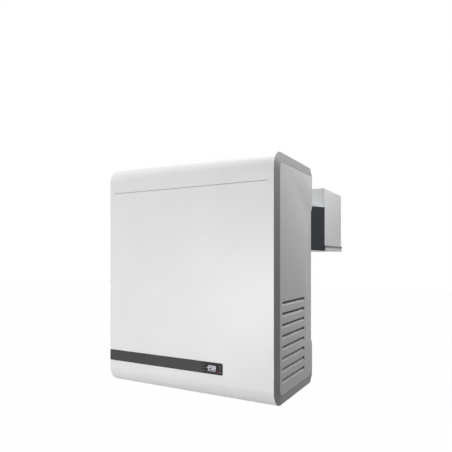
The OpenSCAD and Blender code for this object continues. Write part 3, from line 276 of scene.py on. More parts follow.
def blocks(*corners):
    """Cuboids, each from its lowest to its highest corner."""
    shape = bmesh.new()
    for low, high in corners:
        size = Vector(high) - Vector(low)
        middle = (Vector(high) + Vector(low)) / 2
        place = Matrix.Translation(middle * MM) @ Matrix.Diagonal((*(size * MM), 1))
        bmesh.ops.create_cube(shape, size=1, matrix=place)
    return shape


def turned_about(profile, place=Matrix.Identity(4), steps=64):
    """A profile of (radius, height) points turned about its own Z, then put in place."""
    shape = bmesh.new()
    points = [shape.verts.new((r * MM, 0, z * MM)) for r, z in profile]
    lines = [shape.edges.new(pair) for pair in zip(points, points[1:])]
    bmesh.ops.spin(shape, geom=points + lines, cent=(0, 0, 0), axis=(0, 0, 1), angle=math.tau, steps=steps)
    bmesh.ops.remove_doubles(shape, verts=shape.verts, dist=0.001 * MM)
    bmesh.ops.recalc_face_normals(shape, faces=shape.faces)
    bmesh.ops.transform(shape, matrix=place, verts=shape.verts)
    return shape


def at(x, y, z, axis="Z"):
    """A place in millimetres, with a piece's own Z turned to one of the three axes."""
    turns = {"Z": Matrix.Identity(4), "X": Matrix.Rotation(math.pi / 2, 4, "Y"),
             "Y": Matrix.Rotation(-math.pi / 2, 4, "X"), "-Y": Matrix.Rotation(math.pi / 2, 4, "X"),
             "-Z": Matrix.Rotation(math.pi, 4, "X")}
    return Matrix.Translation(Vector((x, y, z)) * MM) @ turns[axis]


def joined(*shapes):
    """Several shapes as one."""
    whole = bmesh.new()
    for shape in shapes:
        scrap = bpy.data.meshes.new("scrap")
        shape.to_mesh(scrap)
        shape.free()
        whole.from_mesh(scrap)
        bpy.data.meshes.remove(scrap)
    return whole


def rounded_path(points, bend, steps=6):
    """A path through points, with its corners rounded to a radius."""
    points = [Vector(p) for p in points]
    path = [points[0]]
    for before, corner, after in zip(points, points[1:], points[2:]):
        back = (before - corner).normalized()
        on = (after - corner).normalized()
        reach = bend / math.tan(back.angle(on) / 2)
        centre = corner + (back + on).normalized() * bend / math.sin(back.angle(on) / 2)
        first = corner + back * reach - centre
        last = corner + on * reach - centre
        for i in range(steps + 1):
            path.append(centre + first.slerp(last, i / steps, first))
    path.append(points[-1])
    return path


def swept(points, radius, bend=0.0, sides=10):
    """A round bar or tube along a path."""
    path = rounded_path(points, bend) if bend else [Vector(p) for p in points]
    curve = bpy.data.curves.new("path", "CURVE")
    curve.dimensions = "3D"
    curve.bevel_depth = radius * MM
    curve.bevel_resolution = max(0, sides // 4 - 1)
    curve.use_fill_caps = True
    line = curve.splines.new("POLY")
    line.points.add(len(path) - 1)
    for point, place in zip(line.points, path):
        point.co = (*(place * MM), 1)
    carrier = bpy.data.objects.new("path", curve)
    shape = bmesh.new()
    scrap = bpy.data.meshes.new_from_object(carrier)
    shape.from_mesh(scrap)
    bmesh.ops.remove_doubles(shape, verts=shape.verts, dist=0.001 * MM)
    bmesh.ops.recalc_face_normals(shape, faces=shape.faces)
    bpy.data.meshes.remove(scrap)
    bpy.data.objects.remove(carrier)
    bpy.data.curves.remove(curve)
    return shape


# Geometry Nodes for what repeats


def new_tree(name, inputs):
    """An empty tree with its named inputs and one geometry output."""
    tree = bpy.data.node_groups.new(name, "GeometryNodeTree")
    tree.interface.new_socket("Geometry", in_out="INPUT", socket_type="NodeSocketGeometry")
    for label, kind in inputs:
        tree.interface.new_socket(label, in_out="INPUT", socket_type=kind)
    tree.interface.new_socket("Geometry", in_out="OUTPUT", socket_type="NodeSocketGeometry")
    return tree, add(tree, "NodeGroupInput").outputs


def finished_tree(tree, geometry, finish):
    """Ends a tree: instances made real, then the finish."""
    real = add(tree, "GeometryNodeRealizeInstances", {"Geometry": geometry})
    coated = add(tree, "GeometryNodeSetMaterial",
                 {"Geometry": real.outputs["Geometry"], "Material": finish})
    add(tree, "NodeGroupOutput", {"Geometry": coated.outputs["Geometry"]})
    return tree


def row_tree():
    """Repeats a piece's own shape along a step."""
    tree, given = new_tree("repeat in a row", [
        ("Count", "NodeSocketInt"), ("Step", "NodeSocketVector"), ("Finish", "NodeSocketMaterial")])
    line = add(tree, "GeometryNodeMeshLine", {"Count": given["Count"], "Offset": given["Step"]})
    copies = add(tree, "GeometryNodeInstanceOnPoints",
                 {"Points": line.outputs["Mesh"], "Instance": given["Geometry"]})
    return finished_tree(tree, copies.outputs["Instances"], given["Finish"])


def ring_tree():
    """Repeats a piece's own shape round its Z axis."""
    tree, given = new_tree("repeat in a ring", [
        ("Count", "NodeSocketInt"), ("Share of turn", "NodeSocketFloat"), ("Finish", "NodeSocketMaterial")])
    points = add(tree, "GeometryNodeMeshLine", {"Count": given["Count"], "Offset": (0, 0, 0)})
    number = add(tree, "GeometryNodeInputIndex")
    turn = add(tree, "ShaderNodeMath", {0: given["Share of turn"], 1: math.tau}, operation="MULTIPLY")
    step = add(tree, "ShaderNodeMath", {0: turn.outputs[0], 1: given["Count"]}, operation="DIVIDE")
    angle = add(tree, "ShaderNodeMath", {0: number.outputs[0], 1: step.outputs[0]}, operation="MULTIPLY")
    about = add(tree, "ShaderNodeCombineXYZ", {"Z": angle.outputs[0]})
    copies = add(tree, "GeometryNodeInstanceOnPoints", {
        "Points": points.outputs["Mesh"], "Instance": given["Geometry"],
        "Rotation": about.outputs["Vector"]})
    return finished_tree(tree, copies.outputs["Instances"], given["Finish"])


def fastener_tree():
    """Puts one fastener on every point of a piece's own mesh."""
    tree, given = new_tree("fasteners on points", [
        ("Fastener", "NodeSocketObject"), ("Turn", "NodeSocketVector"), ("Finish", "NodeSocketMaterial")])
    part = add(tree, "GeometryNodeObjectInfo", {"Object": given["Fastener"]})
    copies = add(tree, "GeometryNodeInstanceOnPoints", {
        "Points": given["Geometry"], "Instance": part.outputs["Geometry"], "Rotation": given["Turn"]})
    return finished_tree(tree, copies.outputs["Instances"], given["Finish"])


def guard_tree():
    """Concentric wire rings, in the plane of Z = 0."""
    tree, given = new_tree("wire rings", [
        ("Rings", "NodeSocketInt"), ("Inner radius", "NodeSocketFloat"),
        ("Outer radius", "NodeSocketFloat"),
        ("Wire radius", "NodeSocketFloat"), ("Finish", "NodeSocketMaterial")])
    points = add(tree, "GeometryNodeMeshLine", {"Count": given["Rings"], "Offset": (0, 0, 0)})
    number = add(tree, "GeometryNodeInputIndex")
    last = add(tree, "ShaderNodeMath", {0: given["Rings"], 1: 1.0}, operation="SUBTRACT")
    share = add(tree, "ShaderNodeMath", {0: number.outputs[0], 1: last.outputs[0]}, operation="DIVIDE")
    radius = add(tree, "ShaderNodeMapRange", {
        "Value": share.outputs[0], "To Min": given["Inner radius"], "To Max": given["Outer radius"]})
    circle = add(tree, "GeometryNodeCurvePrimitiveCircle", {"Resolution": 96, "Radius": 1.0})
    rings = add(tree, "GeometryNodeInstanceOnPoints", {
        "Points": points.outputs["Mesh"], "Instance": circle.outputs["Curve"],
        "Scale": radius.outputs["Result"]})
    real = add(tree, "GeometryNodeRealizeInstances", {"Geometry": rings.outputs["Instances"]})
    wire = add(tree, "GeometryNodeCurvePrimitiveCircle", {"Resolution": 8, "Radius": given["Wire radius"]})
    bars = add(tree, "GeometryNodeCurveToMesh", {
        "Curve": real.outputs["Geometry"], "Profile Curve": wire.outputs["Curve"]})
    return finished_tree(tree, bars.outputs["Mesh"], given["Finish"])


def winding_tree():
    """A thin tube wound in turns about Z."""
    tree, given = new_tree("wound tube", [
        ("Turns", "NodeSocketFloat"), ("Radius", "NodeSocketFloat"), ("Height", "NodeSocketFloat"),
        ("Tube radius", "NodeSocketFloat"), ("Finish", "NodeSocketMaterial")])
    turns = add(tree, "GeometryNodeCurveSpiral", {
        "Resolution": 40, "Rotations": given["Turns"], "Start Radius": given["Radius"],
        "End Radius": given["Radius"], "Height": given["Height"]})
    tube = add(tree, "GeometryNodeCurvePrimitiveCircle", {"Resolution": 8, "Radius": given["Tube radius"]})
    wound = add(tree, "GeometryNodeCurveToMesh", {
        "Curve": turns.outputs["Curve"], "Profile Curve": tube.outputs["Curve"], "Fill Caps": True})
    return finished_tree(tree, wound.outputs["Mesh"], given["Finish"])


ROW = row_tree()
RING = ring_tree()
FASTENERS = fastener_tree()
GUARD = guard_tree()
WINDING = winding_tree()


def grown(tree, shape=None, place=Matrix.Identity(4), **values):
    """Runs a tree on a shape and returns the plain result, in its place."""
    start = bpy.data.meshes.new("start")
    if shape:
        shape.to_mesh(start)
        shape.free()
    carrier = bpy.data.objects.new("carrier", start)
    bpy.context.scene.collection.objects.link(carrier)
    grower = carrier.modifiers.new("grow", "NODES")
    grower.node_group = tree
    for item in tree.interface.items_tree:
        if item.in_out == "INPUT" and item.name.replace(" ", "_") in values:
            grower[item.identifier] = values[item.name.replace(" ", "_")]
    seen = carrier.evaluated_get(bpy.context.evaluated_depsgraph_get())
    result = bpy.data.meshes.new_from_object(seen)
    bpy.data.objects.remove(carrier)
    bpy.data.meshes.remove(start)
    plain = bmesh.new()
    plain.from_mesh(result)
    bpy.data.meshes.remove(result)
    bmesh.ops.transform(plain, matrix=place, verts=plain.verts)
    return plain


# Casing: the CAD sheets with eased edges

CASING = {
    "front_cover": (WHITE_COAT, 0.6),
    "top_panel": (WHITE_COAT, 0.5),
    "front_strip": (STRIP_FILM, 0.0),
    "side_bezel_right": (GREY_COAT, 0.7),
    "side_bezel_left": (GREY_COAT, 0.7),
    "side_panel_right": (SIDE_COAT, 0.3),
    "side_panel_left": (SIDE_COAT, 0.3),
    "base_tray": (GALVANISED, 0.4),
    "rear_panel": (GALVANISED, 0.4),
    "divider_shelf": (GALVANISED, 0.4),
    "controller_bracket": (GALVANISED, 0.4),
    "controller_case": (BLACK_ABS, 0.4),
    "display_frame": (BLACK_ABS, 0.5),
    "display_window": (LENS, 0.15),
    "compressor_base": (GALVANISED, 0.5),
    "compressor_grommets": (NEOPRENE, 0.8),
    "compressor_terminal_cover": (NYLON, 2.5),
    "fan_shroud": (NYLON, 0.6),
    "filter_drier": (COPPER, 0.0),
    "condenser_tubes": (COPPER, 0.0),
    "evaporator_tubes": (COPPER, 0.0),
    "discharge_pipe": (COPPER, 0.0),
    "liquid_pipe": (COPPER, 0.0),
    "suction_pipe": (COPPER, 0.0),
    "electrical_box": (GREY_ABS, 0.6),
    "electrical_lid": (GREY_ABS, 0.8),
    "terminal_block": (CREAM_PA, 0.3),
    "cable_gland": (NYLON, 0.5),
    "plug_core": (PU_FOAM, 1.0),
    "plug_sleeve": (GALVANISED, 0.3),
    "plug_cheek_right": (SLATE_COAT, 0.3),
    "plug_cheek_left": (SLATE_COAT, 0.3),
    "wall_gasket": (CELL_FOAM, 0.6),
    "evaporator_side_right": (EVAPORATOR_COAT, 0.3),
    "evaporator_side_left": (EVAPORATOR_COAT, 0.3),
    "evaporator_top_cover": (EVAPORATOR_COAT, 0.3),
    "evaporator_front_panel": (WHITE_LAMINATE, 0.3),
    "evaporator_fan_panel": (EVAPORATOR_COAT, 0.3),
    "drip_tray": (EVAPORATOR_COAT, 0.3),
    "tray_hinge_pins": (ZINC, 0.3),
    "tray_spigot": (WHITE_PVC, 0.4),
}
for number in range(1, 7):
    CASING[f"key_{number}"] = (KEY_ABS, 0.25)
for node, (finish, edge) in CASING.items():
    dressed(node, finish, edge)


# Small trims: a grey strip in the front's groove as its painted shade, the tray's edge trim, darkened and
# deepened as the rim's painted shadow, and the cheeks' blind caps

GROOVE_DROP, GROOVE_END, GROOVE_W = 94, 19, 2.4
SHADE_STRIP_SUNK, SHADE_STRIP_BACK = 0.3, 1
cover_low, cover_high = span("front_cover")
groove_x, groove_z = cover_high.x - GROOVE_END, cover_high.z - GROOVE_DROP
# The grey strip laid in the groove is painted shade: its tone darkens the groove line
publish("front_groove_bead", blocks(((-groove_x, cover_low.y + SHADE_STRIP_SUNK, groove_z - GROOVE_W / 2),
                                     (groove_x, cover_low.y + SHADE_STRIP_BACK, groove_z + GROOVE_W / 2))),
        GROOVE_SHADE_GREY, "front_cover")

# The trim is made 7.5 mm deep and dark so it also covers the band where the rim's shadow falls: painted
# shadow along with a real trim
TRIM_T, TRIM_AND_SHADE_H = 1.2, 7.5
tray_low, tray_high = span("drip_tray")
publish("drip_tray_edge_trim", blocks(*[
    ((min(x, x - way * TRIM_T), tray_low.y + 2, tray_high.z - TRIM_AND_SHADE_H),
     (max(x, x - way * TRIM_T), tray_high.y - 1, tray_high.z))
    for x, way in ((tray_high.x + 0.3, 1), (tray_low.x - 0.3, -1))]), TRIM_AND_RIM_SHADE_GREY, "drip_tray")

sleeve_low, sleeve_high = span("plug_sleeve")
cheek_x = span("plug_cheek_right")[1].x
CAP_SUNK, CHEEK_HOLE_SET = 0.9, 37
CHEEK_HOLES = ((0.9, 2.8), (0.494, 2.8), (0.294, 4.1), (0.072, 2.8))
caps = []
for share, radius in CHEEK_HOLES:
    for side in (-1, 1):
        caps.append(turned_about([(0, 0), (radius, 0), (radius, 1), (0, 1)],
                                 at(side * (cheek_x - CAP_SUNK) - 0.5, sleeve_high.y - CHEEK_HOLE_SET,
                                    sleeve_low.z + share * (sleeve_high.z - sleeve_low.z), "X"), 20))
publish("cheek_hole_caps", joined(*caps), CAP_RUBBER)


# Controller: lit digits and printed marks

SEGMENTS = {"0": "abcdef", "2": "abged", "8": "abcdefg"}
DIGIT_W, DIGIT_H, STROKE, DIGIT_PITCH = 7.2, 13.5, 1.1, 10.2
LIGHT_T = 0.12

lens_low, lens_high = span("display_window")
lens_mid = (lens_low + lens_high) / 2
LIT_Y = lens_low.y


def lit_bar(x0, x1, z0, z1):
    """One lit bar just in front of the lens."""
    return (x0, LIT_Y - LIGHT_T, z0), (x1, LIT_Y, z1)


def digit(text, x, z):
    """The lit bars of one seven-segment digit, from its lower left corner."""
    w, h, s = DIGIT_W, DIGIT_H, STROKE
    gap = s * 0.55
    places = {
        "a": (x + gap, x + w - gap, z + h - s, z + h),
        "b": (x + w - s, x + w, z + h / 2 + gap / 2, z + h - gap),
        "c": (x + w - s, x + w, z + gap, z + h / 2 - gap / 2),
        "d": (x + gap, x + w - gap, z, z + s),
        "e": (x, x + s, z + gap, z + h / 2 - gap / 2),
        "f": (x, x + s, z + h / 2 + gap / 2, z + h - gap),
        "g": (x + gap, x + w - gap, z + h / 2 - s / 2, z + h / 2 + s / 2),
    }
    return [lit_bar(*places[name]) for name in SEGMENTS[text]]


digits_x = lens_low.x + 11.5
digits_z = lens_mid.z - 4.8
bars = []
for place, text in enumerate("208"):
    bars += digit(text, digits_x + place * DIGIT_PITCH, digits_z)
bars.append(lit_bar(digits_x - 5.2, digits_x - 1.6, digits_z + DIGIT_H / 2 - 0.6,
                    digits_z + DIGIT_H / 2 + 0.6))
bars.append(lit_bar(digits_x + 2 * DIGIT_PITCH - 2.2, digits_x + 2 * DIGIT_PITCH - 1.0, digits_z,
                    digits_z + 1.2))
publish("display_digits", blocks(*bars), LIT_WHITE)

tick = blocks(lit_bar(digits_x - 1, digits_x + 1.6, digits_z - 4.4, digits_z - 3.4))
publish("display_status_marks", grown(ROW, tick, Count=6, Step=(5.0 * MM, 0, 0), Finish=LIT_WHITE),
        LIT_WHITE)
publish("display_alarm_dot", turned_about([(0, 0), (0.9, 0), (0.9, LIGHT_T), (0, LIGHT_T)],
        at(lens_high.x - 4, LIT_Y, lens_low.z + 4.5, "-Y"), 16), LIT_RED)

# A printed mark on every key: a triangle, a bar or a ring
MARK_T = 0.02
for number in range(1, 7):
    low, high = span(f"key_{number}")
    middle = (low + high) / 2
    face = low.y
    kind = number % 3
    if kind == 0:
        mark = turned_about([(0.7, 0), (1.3, 0), (1.3, MARK_T), (0.7, MARK_T), (0.7, 0)],
                            at(middle.x, face, middle.z, "-Y"), 20)
    elif kind == 1:
        mark = turned_about([(0, 0), (1.5, 0), (1.5, MARK_T), (0, MARK_T)],
                            at(middle.x, face, middle.z, "-Y"), 3)
    else:
        mark = blocks(((middle.x - 1.4, face - MARK_T, middle.z - 0.4),
                       (middle.x + 1.4, face, middle.z + 0.4)))
    publish(f"key_{number}_mark", mark, LEGEND_INK, f"key_{number}")


# Fasteners


def pan_head(radius, height):
    """A pan-head screw with a cross recess, its seat at the origin and its head up Z."""
    profile = [(0, 0), (radius, 0), (radius, height * 0.45), (radius * 0.86, height * 0.85),
               (radius * 0.5, height),
               (0, height)]
    head = bpy.data.meshes.new("head")
    turned = turned_about(profile, steps=20)
    turned.to_mesh(head)
    turned.free()
    arm, slit = radius * 0.6, radius * 0.13
    cross = blocks(((-arm, -slit, height * 0.4), (arm, slit, height * 2)),
                   ((-slit, -arm, height * 0.4), (slit, arm, height * 2)))
    cutter = bpy.data.meshes.new("cross")
    cross.to_mesh(cutter)
    cross.free()
    piece = bpy.data.objects.new("head", head)
    tool = bpy.data.objects.new("cross", cutter)
    for made in (piece, tool):
        bpy.context.scene.collection.objects.link(made)
    cut = piece.modifiers.new("recess", "BOOLEAN")
    cut.operation = "DIFFERENCE"
    cut.object = tool
    cut.use_self = True
    result = bpy.data.meshes.new_from_object(piece.evaluated_get(bpy.context.evaluated_depsgraph_get()))
    piece.modifiers.clear()
    piece.data = result
    bpy.data.objects.remove(tool)
    return piece


def fasteners(name, part, places, turn, finish, body="unit", replaces=()):
    """One kind of fastener at several places, as one piece."""
    points = bmesh.new()
    for place in places:
        points.verts.new(Vector(place) * MM)
    grid = grown(FASTENERS, points, Fastener=part, Turn=turn, Finish=finish)
    return publish(name, grid, finish, body, replaces)


SHEET_HEAD = pan_head(3.5, 1.4)
PANEL_HEAD = pan_head(4.5, 1.8)
TERMINAL_HEAD = pan_head(2.4, 1.0)

screw_low, screw_high = span("sheet_screws")
SHEET_R, PANEL_R = 3.5, 4.5
screw_y = [screw_low.y + SHEET_R, (screw_low.y + screw_high.y) / 2, screw_high.y - SHEET_R]
screw_z = (screw_low.z + screw_high.z) / 2
plate_x = span("evaporator_side_right")[1].x
fasteners("sheet_screws_right", SHEET_HEAD, [(plate_x, y, screw_z) for y in screw_y], (0, math.pi / 2, 0),
          ZINC,
          replaces=("sheet_screws",))
fasteners("sheet_screws_left", SHEET_HEAD, [(-plate_x, y, screw_z) for y in screw_y], (0, -math.pi / 2, 0),
          ZINC)

shank_low, shank_high = span("cover_screws")
floor_z = span("front_cover")[0].z
shank_y = (shank_low.y + shank_high.y) / 2
shank_x = shank_high.x - PANEL_R
shank_h = shank_high.z - floor_z
fasteners("cover_screw_heads", PANEL_HEAD, [(x, shank_y, floor_z) for x in (-shank_x, shank_x)],
          (math.pi, 0, 0),
          ZINC, "front_cover", ("cover_screws",))
shanks = [turned_about([(0, 0), (2, 0), (2, 4), (4, 4), (4, shank_h), (0, shank_h)],
                       at(x, shank_y, floor_z), 24)
          for x in (-shank_x, shank_x)]
publish("cover_screw_shanks", joined(*shanks), ZINC, "front_cover")


# Compressor: a drawn and welded shell on its plate

shell_low, shell_high = span("compressor_shell")
shell_x, shell_y = (shell_low.x + shell_high.x) / 2, (shell_low.y + shell_high.y) / 2
SHELL_R = 78
STUB_H = 12
shell_h = shell_high.z - shell_low.z - STUB_H


def dome(radius, corner, z, way, steps=10):
    """Points of a dished end, from its rim to its middle."""
    crown = corner * 0.35
    points = []
    for i in range(steps + 1):
        angle = i / steps * math.pi / 2
        points.append((radius - corner + corner * math.cos(angle),
                       z + way * (corner - crown) * math.sin(angle)))
    for i in range(1, 6):
        share = i / 5
        points.append(((radius - corner) * (1 - share),
                       z + way * (corner - crown + crown * (1 - (1 - share) ** 2))))
    return points


rim = 40
shell = list(reversed(dome(SHELL_R, rim, rim, -1)))
shell += [(SHELL_R, shell_h * 0.44), (SHELL_R + 2.2, shell_h * 0.443), (SHELL_R + 3, shell_h * 0.45),
          (SHELL_R + 3, shell_h * 0.467), (SHELL_R + 2.2, shell_h * 0.474), (SHELL_R, shell_h * 0.477)]
shell += dome(SHELL_R, rim, shell_h - rim, 1)
stubs = [turned_about([(4.1, -6), (7, -6), (7, STUB_H - 1), (6.4, STUB_H), (4.1, STUB_H), (4.1, -6)],
                      at(shell_x + way * 22, shell_y, shell_low.z + shell_h), 32) for way in (-1, 1)]
publish("compressor_shell_finished", joined(turned_about(shell, at(shell_x, shell_y, shell_low.z), 96),
                                            *stubs),
        ENAMEL, replaces=("compressor_shell",))

bolt_low, bolt_high = span("compressor_bolts")
bolt_x = (bolt_low.x + 6.5, bolt_high.x - 6.5)
bolt_y = (bolt_low.y + 6.5, bolt_high.y - 6.5)
bolt_places = [(x, y) for x in bolt_x for y in bolt_y]
nut_top = bolt_high.z
bolts = []
for x, y in bolt_places:
    bolts.append(turned_about([(0, 0), (4, 0), (4, nut_top - bolt_low.z - 1), (3.4, nut_top - bolt_low.z),
                               (0, nut_top - bolt_low.z)], at(x, y, bolt_low.z), 24))
    bolts.append(turned_about([(0, 0), (6.5, 0), (6.5, 2.2), (0, 2.2)], at(x, y, bolt_low.z), 6))
    bolts.append(turned_about([(4, 0), (6.5, 0), (6.5, 5), (5.7, 5.6), (4, 5.6), (4, 0)],
                              at(x, y, nut_top - 6.8), 6))
    bolts.append(turned_about([(4.2, 0), (8.5, 0), (8.5, 1.2), (4.2, 1.2), (4.2, 0)], at(x, y, nut_top - 8),
                              32))
publish("compressor_bolts_finished", joined(*bolts), ZINC, replaces=("compressor_bolts",))

lid_low, lid_high = span("compressor_terminal_cover")
bail = swept([(lid_low.x - 1.2, lid_high.y, lid_low.z + 30),
              (lid_low.x - 1.2, lid_low.y - 1, lid_low.z + 38),
              (lid_high.x + 1.2, lid_low.y - 1, lid_low.z + 38),
              (lid_high.x + 1.2, lid_high.y, lid_low.z + 30)], 1.1, 3)
publish("terminal_cover_bail", bail, ZINC)


# Heat exchangers: thin fins on the CAD tubes


def fin_pack(name, node, pitch, along, thick=0.35):
    """A pack of foil fins in the place of the CAD node's few thick ones."""
    low, high = span(node)
    count = int((high[along] - low[along]) / pitch) + 1
    start = (low[along] + high[along] - (count - 1) * pitch) / 2
    first, last = Vector(low), Vector(high)
    first[along], last[along] = start - thick / 2, start + thick / 2
    step = Vector((0, 0, 0))
    step[along] = pitch * MM
    fins = grown(ROW, blocks((first, last)), Count=count, Step=step, Finish=FIN_STOCK)
    return publish(name, fins, FIN_STOCK, replaces=(node,))


fin_pack("condenser_fin_pack", "condenser_fins", 2.4, 1)
fin_pack("evaporator_fin_pack", "evaporator_fins", 4.0, 0)


# Fans: twisted and cambered blades on a hub


def blade(hub_r, tip_r, deep, width, rise, thick=2.2):
    """One blade along X: its chord widens and flattens from the hub to the tip."""
    shape = bmesh.new()
    spans, chords = 8, 10
    sides = []
    for side in (1, -1):
        rows = []
        for i in range(spans + 1):
            v = i / spans
            r = hub_r - 2 + v * (tip_r - hub_r + 2)
            chord = width * (0.72 + 0.5 * v)
            tilt = math.radians(rise * (1 - 0.35 * v))
            row = []
            for j in range(chords + 1):
                u = j / chords - 0.5
                angle = (u * chord * math.cos(tilt) + width * 0.18 * v * v) / r
                lift = u * chord * math.sin(tilt) + chord * 0.09 * (0.25 - u * u) * 4
                body = thick * (1 - 0.55 * v) * (1 - (2 * u) ** 2 * 0.75) / 2
                z = min(deep - 0.5, max(0.5, deep / 2 + lift * 0.8 + side * body))
                row.append(shape.verts.new((r * math.cos(angle) * MM, r * math.sin(angle) * MM, z * MM)))
            rows.append(row)
        sides.append(rows)
    for rows in sides:
        for a, b in zip(rows, rows[1:]):
            for j in range(chords):
                shape.faces.new((a[j], a[j + 1], b[j + 1], b[j]))
    top, low = sides
    rim_top = ([r[0] for r in top] + top[-1][1:] + [r[-1] for r in reversed(top[:-1])]
               + list(reversed(top[0][1:-1])))
    rim_low = ([r[0] for r in low] + low[-1][1:] + [r[-1] for r in reversed(low[:-1])]
               + list(reversed(low[0][1:-1])))
    for k in range(len(rim_top)):
        m = (k + 1) % len(rim_top)
        shape.faces.new((rim_top[k], rim_top[m], rim_low[m], rim_low[k]))
    bmesh.ops.recalc_face_normals(shape, faces=shape.faces)
    return shape


def fan(name, node, body, place, tip_r, deep, rise, shaft):
    """A moulded fan: five blades round a cupped hub, on its steel shaft."""
    hub_r = 24
    blades = grown(RING, blade(hub_r, tip_r, deep, tip_r * 0.62, rise), place, Count=5, Share_of_turn=1.0,
                   Finish=NYLON)
    hub = turned_about([(3, 0), (hub_r, 0), (hub_r, deep - 3), (hub_r - 1, deep - 1), (hub_r - 3, deep),
                        (9, deep),
                        (8, deep - 2.5), (3, deep - 2.5), (3, 0)], place, 64)
    rod = turned_about([(0, -shaft), (2.6, -shaft), (3, 0.5 - shaft), (3, deep - 1.5), (0, deep - 1.5)],
                       place, 24)
    publish(name, joined(blades, hub), NYLON, body, (node,))
    publish(f"{name}_shaft", rod, ZINC, body)


SHAFT = 24
EVAP_FAN_X = 150
cond_low, cond_high = span("condenser_fan_blade")
shroud_low, shroud_high = span("fan_shroud")
cond_y, cond_z = (shroud_low.y + shroud_high.y) / 2, (shroud_low.z + shroud_high.z) / 2
fan("condenser_fan", "condenser_fan_blade", "condenser_fan", at(cond_low.x + SHAFT, cond_y, cond_z, "X"),
    100, cond_high.x - cond_low.x - SHAFT, 30, SHAFT)
evap_z = (span("evaporator_fan_guards")[0].z + span("evaporator_fan_guards")[1].z) / 2
fan_low, fan_high = span("evaporator_fan_blade_right")
for side, word in ((1, "right"), (-1, "left")):
    fan(f"evaporator_fan_{word}", f"evaporator_fan_blade_{word}", f"evaporator_fan_{word}",
        at(side * EVAP_FAN_X, fan_low.y + SHAFT, evap_z, "Y"), 94, fan_high.y - fan_low.y - SHAFT, 24,
        SHAFT)


def fan_motor(place, radius, length):
    """A shaded-pole fan motor: two end caps, a ribbed middle and its bearing boss."""
    caps = turned_about([(3.1, 0), (8, 0), (8, -2), (radius * 0.7, -3), (radius * 0.94, -7), (radius, -10),
                         (radius, -length * 0.72), (radius * 0.9, -length * 0.86),
                         (radius * 0.62, -length + 2),
                         (radius * 0.55, -length), (0, -length), (0, -22), (3.1, -22), (3.1, 0)], place, 64)
    rib = blocks(((radius - 1.5, -0.8, -length * 0.66), (radius - 0.2, 0.8, -12)))
    ribs = grown(RING, rib, place, Count=24, Share_of_turn=1.0, Finish=MOTOR_CAST)
    return joined(caps, ribs)


motor_low, motor_high = span("condenser_fan_motor")
publish("condenser_fan_motor_finished", fan_motor(at(motor_high.x, cond_y, cond_z, "X"), 42,
                                                  motor_high.x - motor_low.x),
        MOTOR_CAST, replaces=("condenser_fan_motor",))
pair_low, pair_high = span("evaporator_fan_motors")
publish("evaporator_fan_motors_finished", joined(*[
    fan_motor(at(side * EVAP_FAN_X, pair_high.y, evap_z, "Y"), 34,
              pair_high.y - pair_low.y) for side in (-1, 1)]),
    MOTOR_CAST, replaces=("evaporator_fan_motors",))


# Fan guards: rings of wire welded on crossed spokes

guard_low, guard_high = span("evaporator_fan_guards")
GUARD_R = (guard_high.z - guard_low.z) / 2 - 2
WIRE_R = 1.2
guards = []
for side in (-1, 1):
    place = at(side * EVAP_FAN_X, guard_high.y - WIRE_R, evap_z, "-Y")
    guards.append(grown(GUARD, None, place, Rings=9, Inner_radius=18 * MM,
                        Outer_radius=(GUARD_R - WIRE_R) * MM,
                        Wire_radius=WIRE_R * MM, Finish=GUARD_COAT))
    spoke = swept([(12, 0, 2 * WIRE_R), (GUARD_R - 5, 0, 2 * WIRE_R),
                   (GUARD_R, 0, guard_high.y - guard_low.y - WIRE_R * 2)],
                  WIRE_R, 2)
    guards.append(grown(RING, spoke, place, Count=8, Share_of_turn=1.0, Finish=GUARD_COAT))
    guards.append(turned_about([(0, -0.6), (19, -0.6), (19.6, 0), (19, 0.6), (0, 0.6)], place, 48))
publish("evaporator_fan_guards_finished", joined(*guards), GUARD_COAT, replaces=("evaporator_fan_guards",))


# Refrigerant line: wound capillary, brazed joints and the suction line's insulation

CAP_R = 1.2
coil_low, coil_high = span("capillary_coil")
drier_low, drier_high = span("filter_drier")
drier_x, drier_y = (drier_low.x + drier_high.x) / 2, (drier_low.y + drier_high.y) / 2
CAP_SIDE, CAP_BACK = 22, 10
cap_x, cap_y, cap_ring = drier_x - CAP_SIDE, drier_y - CAP_BACK, math.hypot(CAP_SIDE, CAP_BACK)
cap_z = coil_low.z
line_z = span("liquid_pipe")[1].z - 5
stub_z = drier_low.z
plug_low, plug_high = span("plug_sleeve")
pipe_z = (plug_low.z + plug_high.z) / 2
TUBE_R = 4.76
tubes_low = span("evaporator_tubes")[0]
inlet_y, inlet_z = coil_high.y - TUBE_R, tubes_low.z + TUBE_R
side_x = coil_low.x + CAP_R
LINE_SET, LIQUID_X = 35, -100
line_y = span("evaporator_front_panel")[0].y + LINE_SET
rise_x = cap_x - cap_ring
turns = grown(WINDING, None, at(cap_x, cap_y, cap_z + CAP_R), Turns=5.0, Radius=cap_ring * MM,
              Height=9.6 * MM,
              Tube_radius=CAP_R * MM, Finish=COPPER)
lead = swept([(drier_x, drier_y, cap_z + 6), (drier_x, drier_y, stub_z + 2)], CAP_R)
reach = swept([(rise_x, cap_y, cap_z + 6), (rise_x, cap_y, line_z), (LIQUID_X, cap_y, line_z),
               (LIQUID_X, cap_y, pipe_z),
               (LIQUID_X, line_y, pipe_z), (LIQUID_X, line_y, inlet_z), (side_x, line_y, inlet_z),
               (side_x, inlet_y, inlet_z),
               (tubes_low.x + 2, inlet_y, inlet_z)], CAP_R, 8)
reducer = turned_about([(0, 0), (CAP_R, 0), (TUBE_R, 3), (TUBE_R, 8), (0, 8)],
                       at(tubes_low.x - 8, inlet_y, inlet_z, "X"), 24)
publish("capillary_tube", joined(turns, lead, reach, reducer), COPPER, replaces=("capillary_coil",))

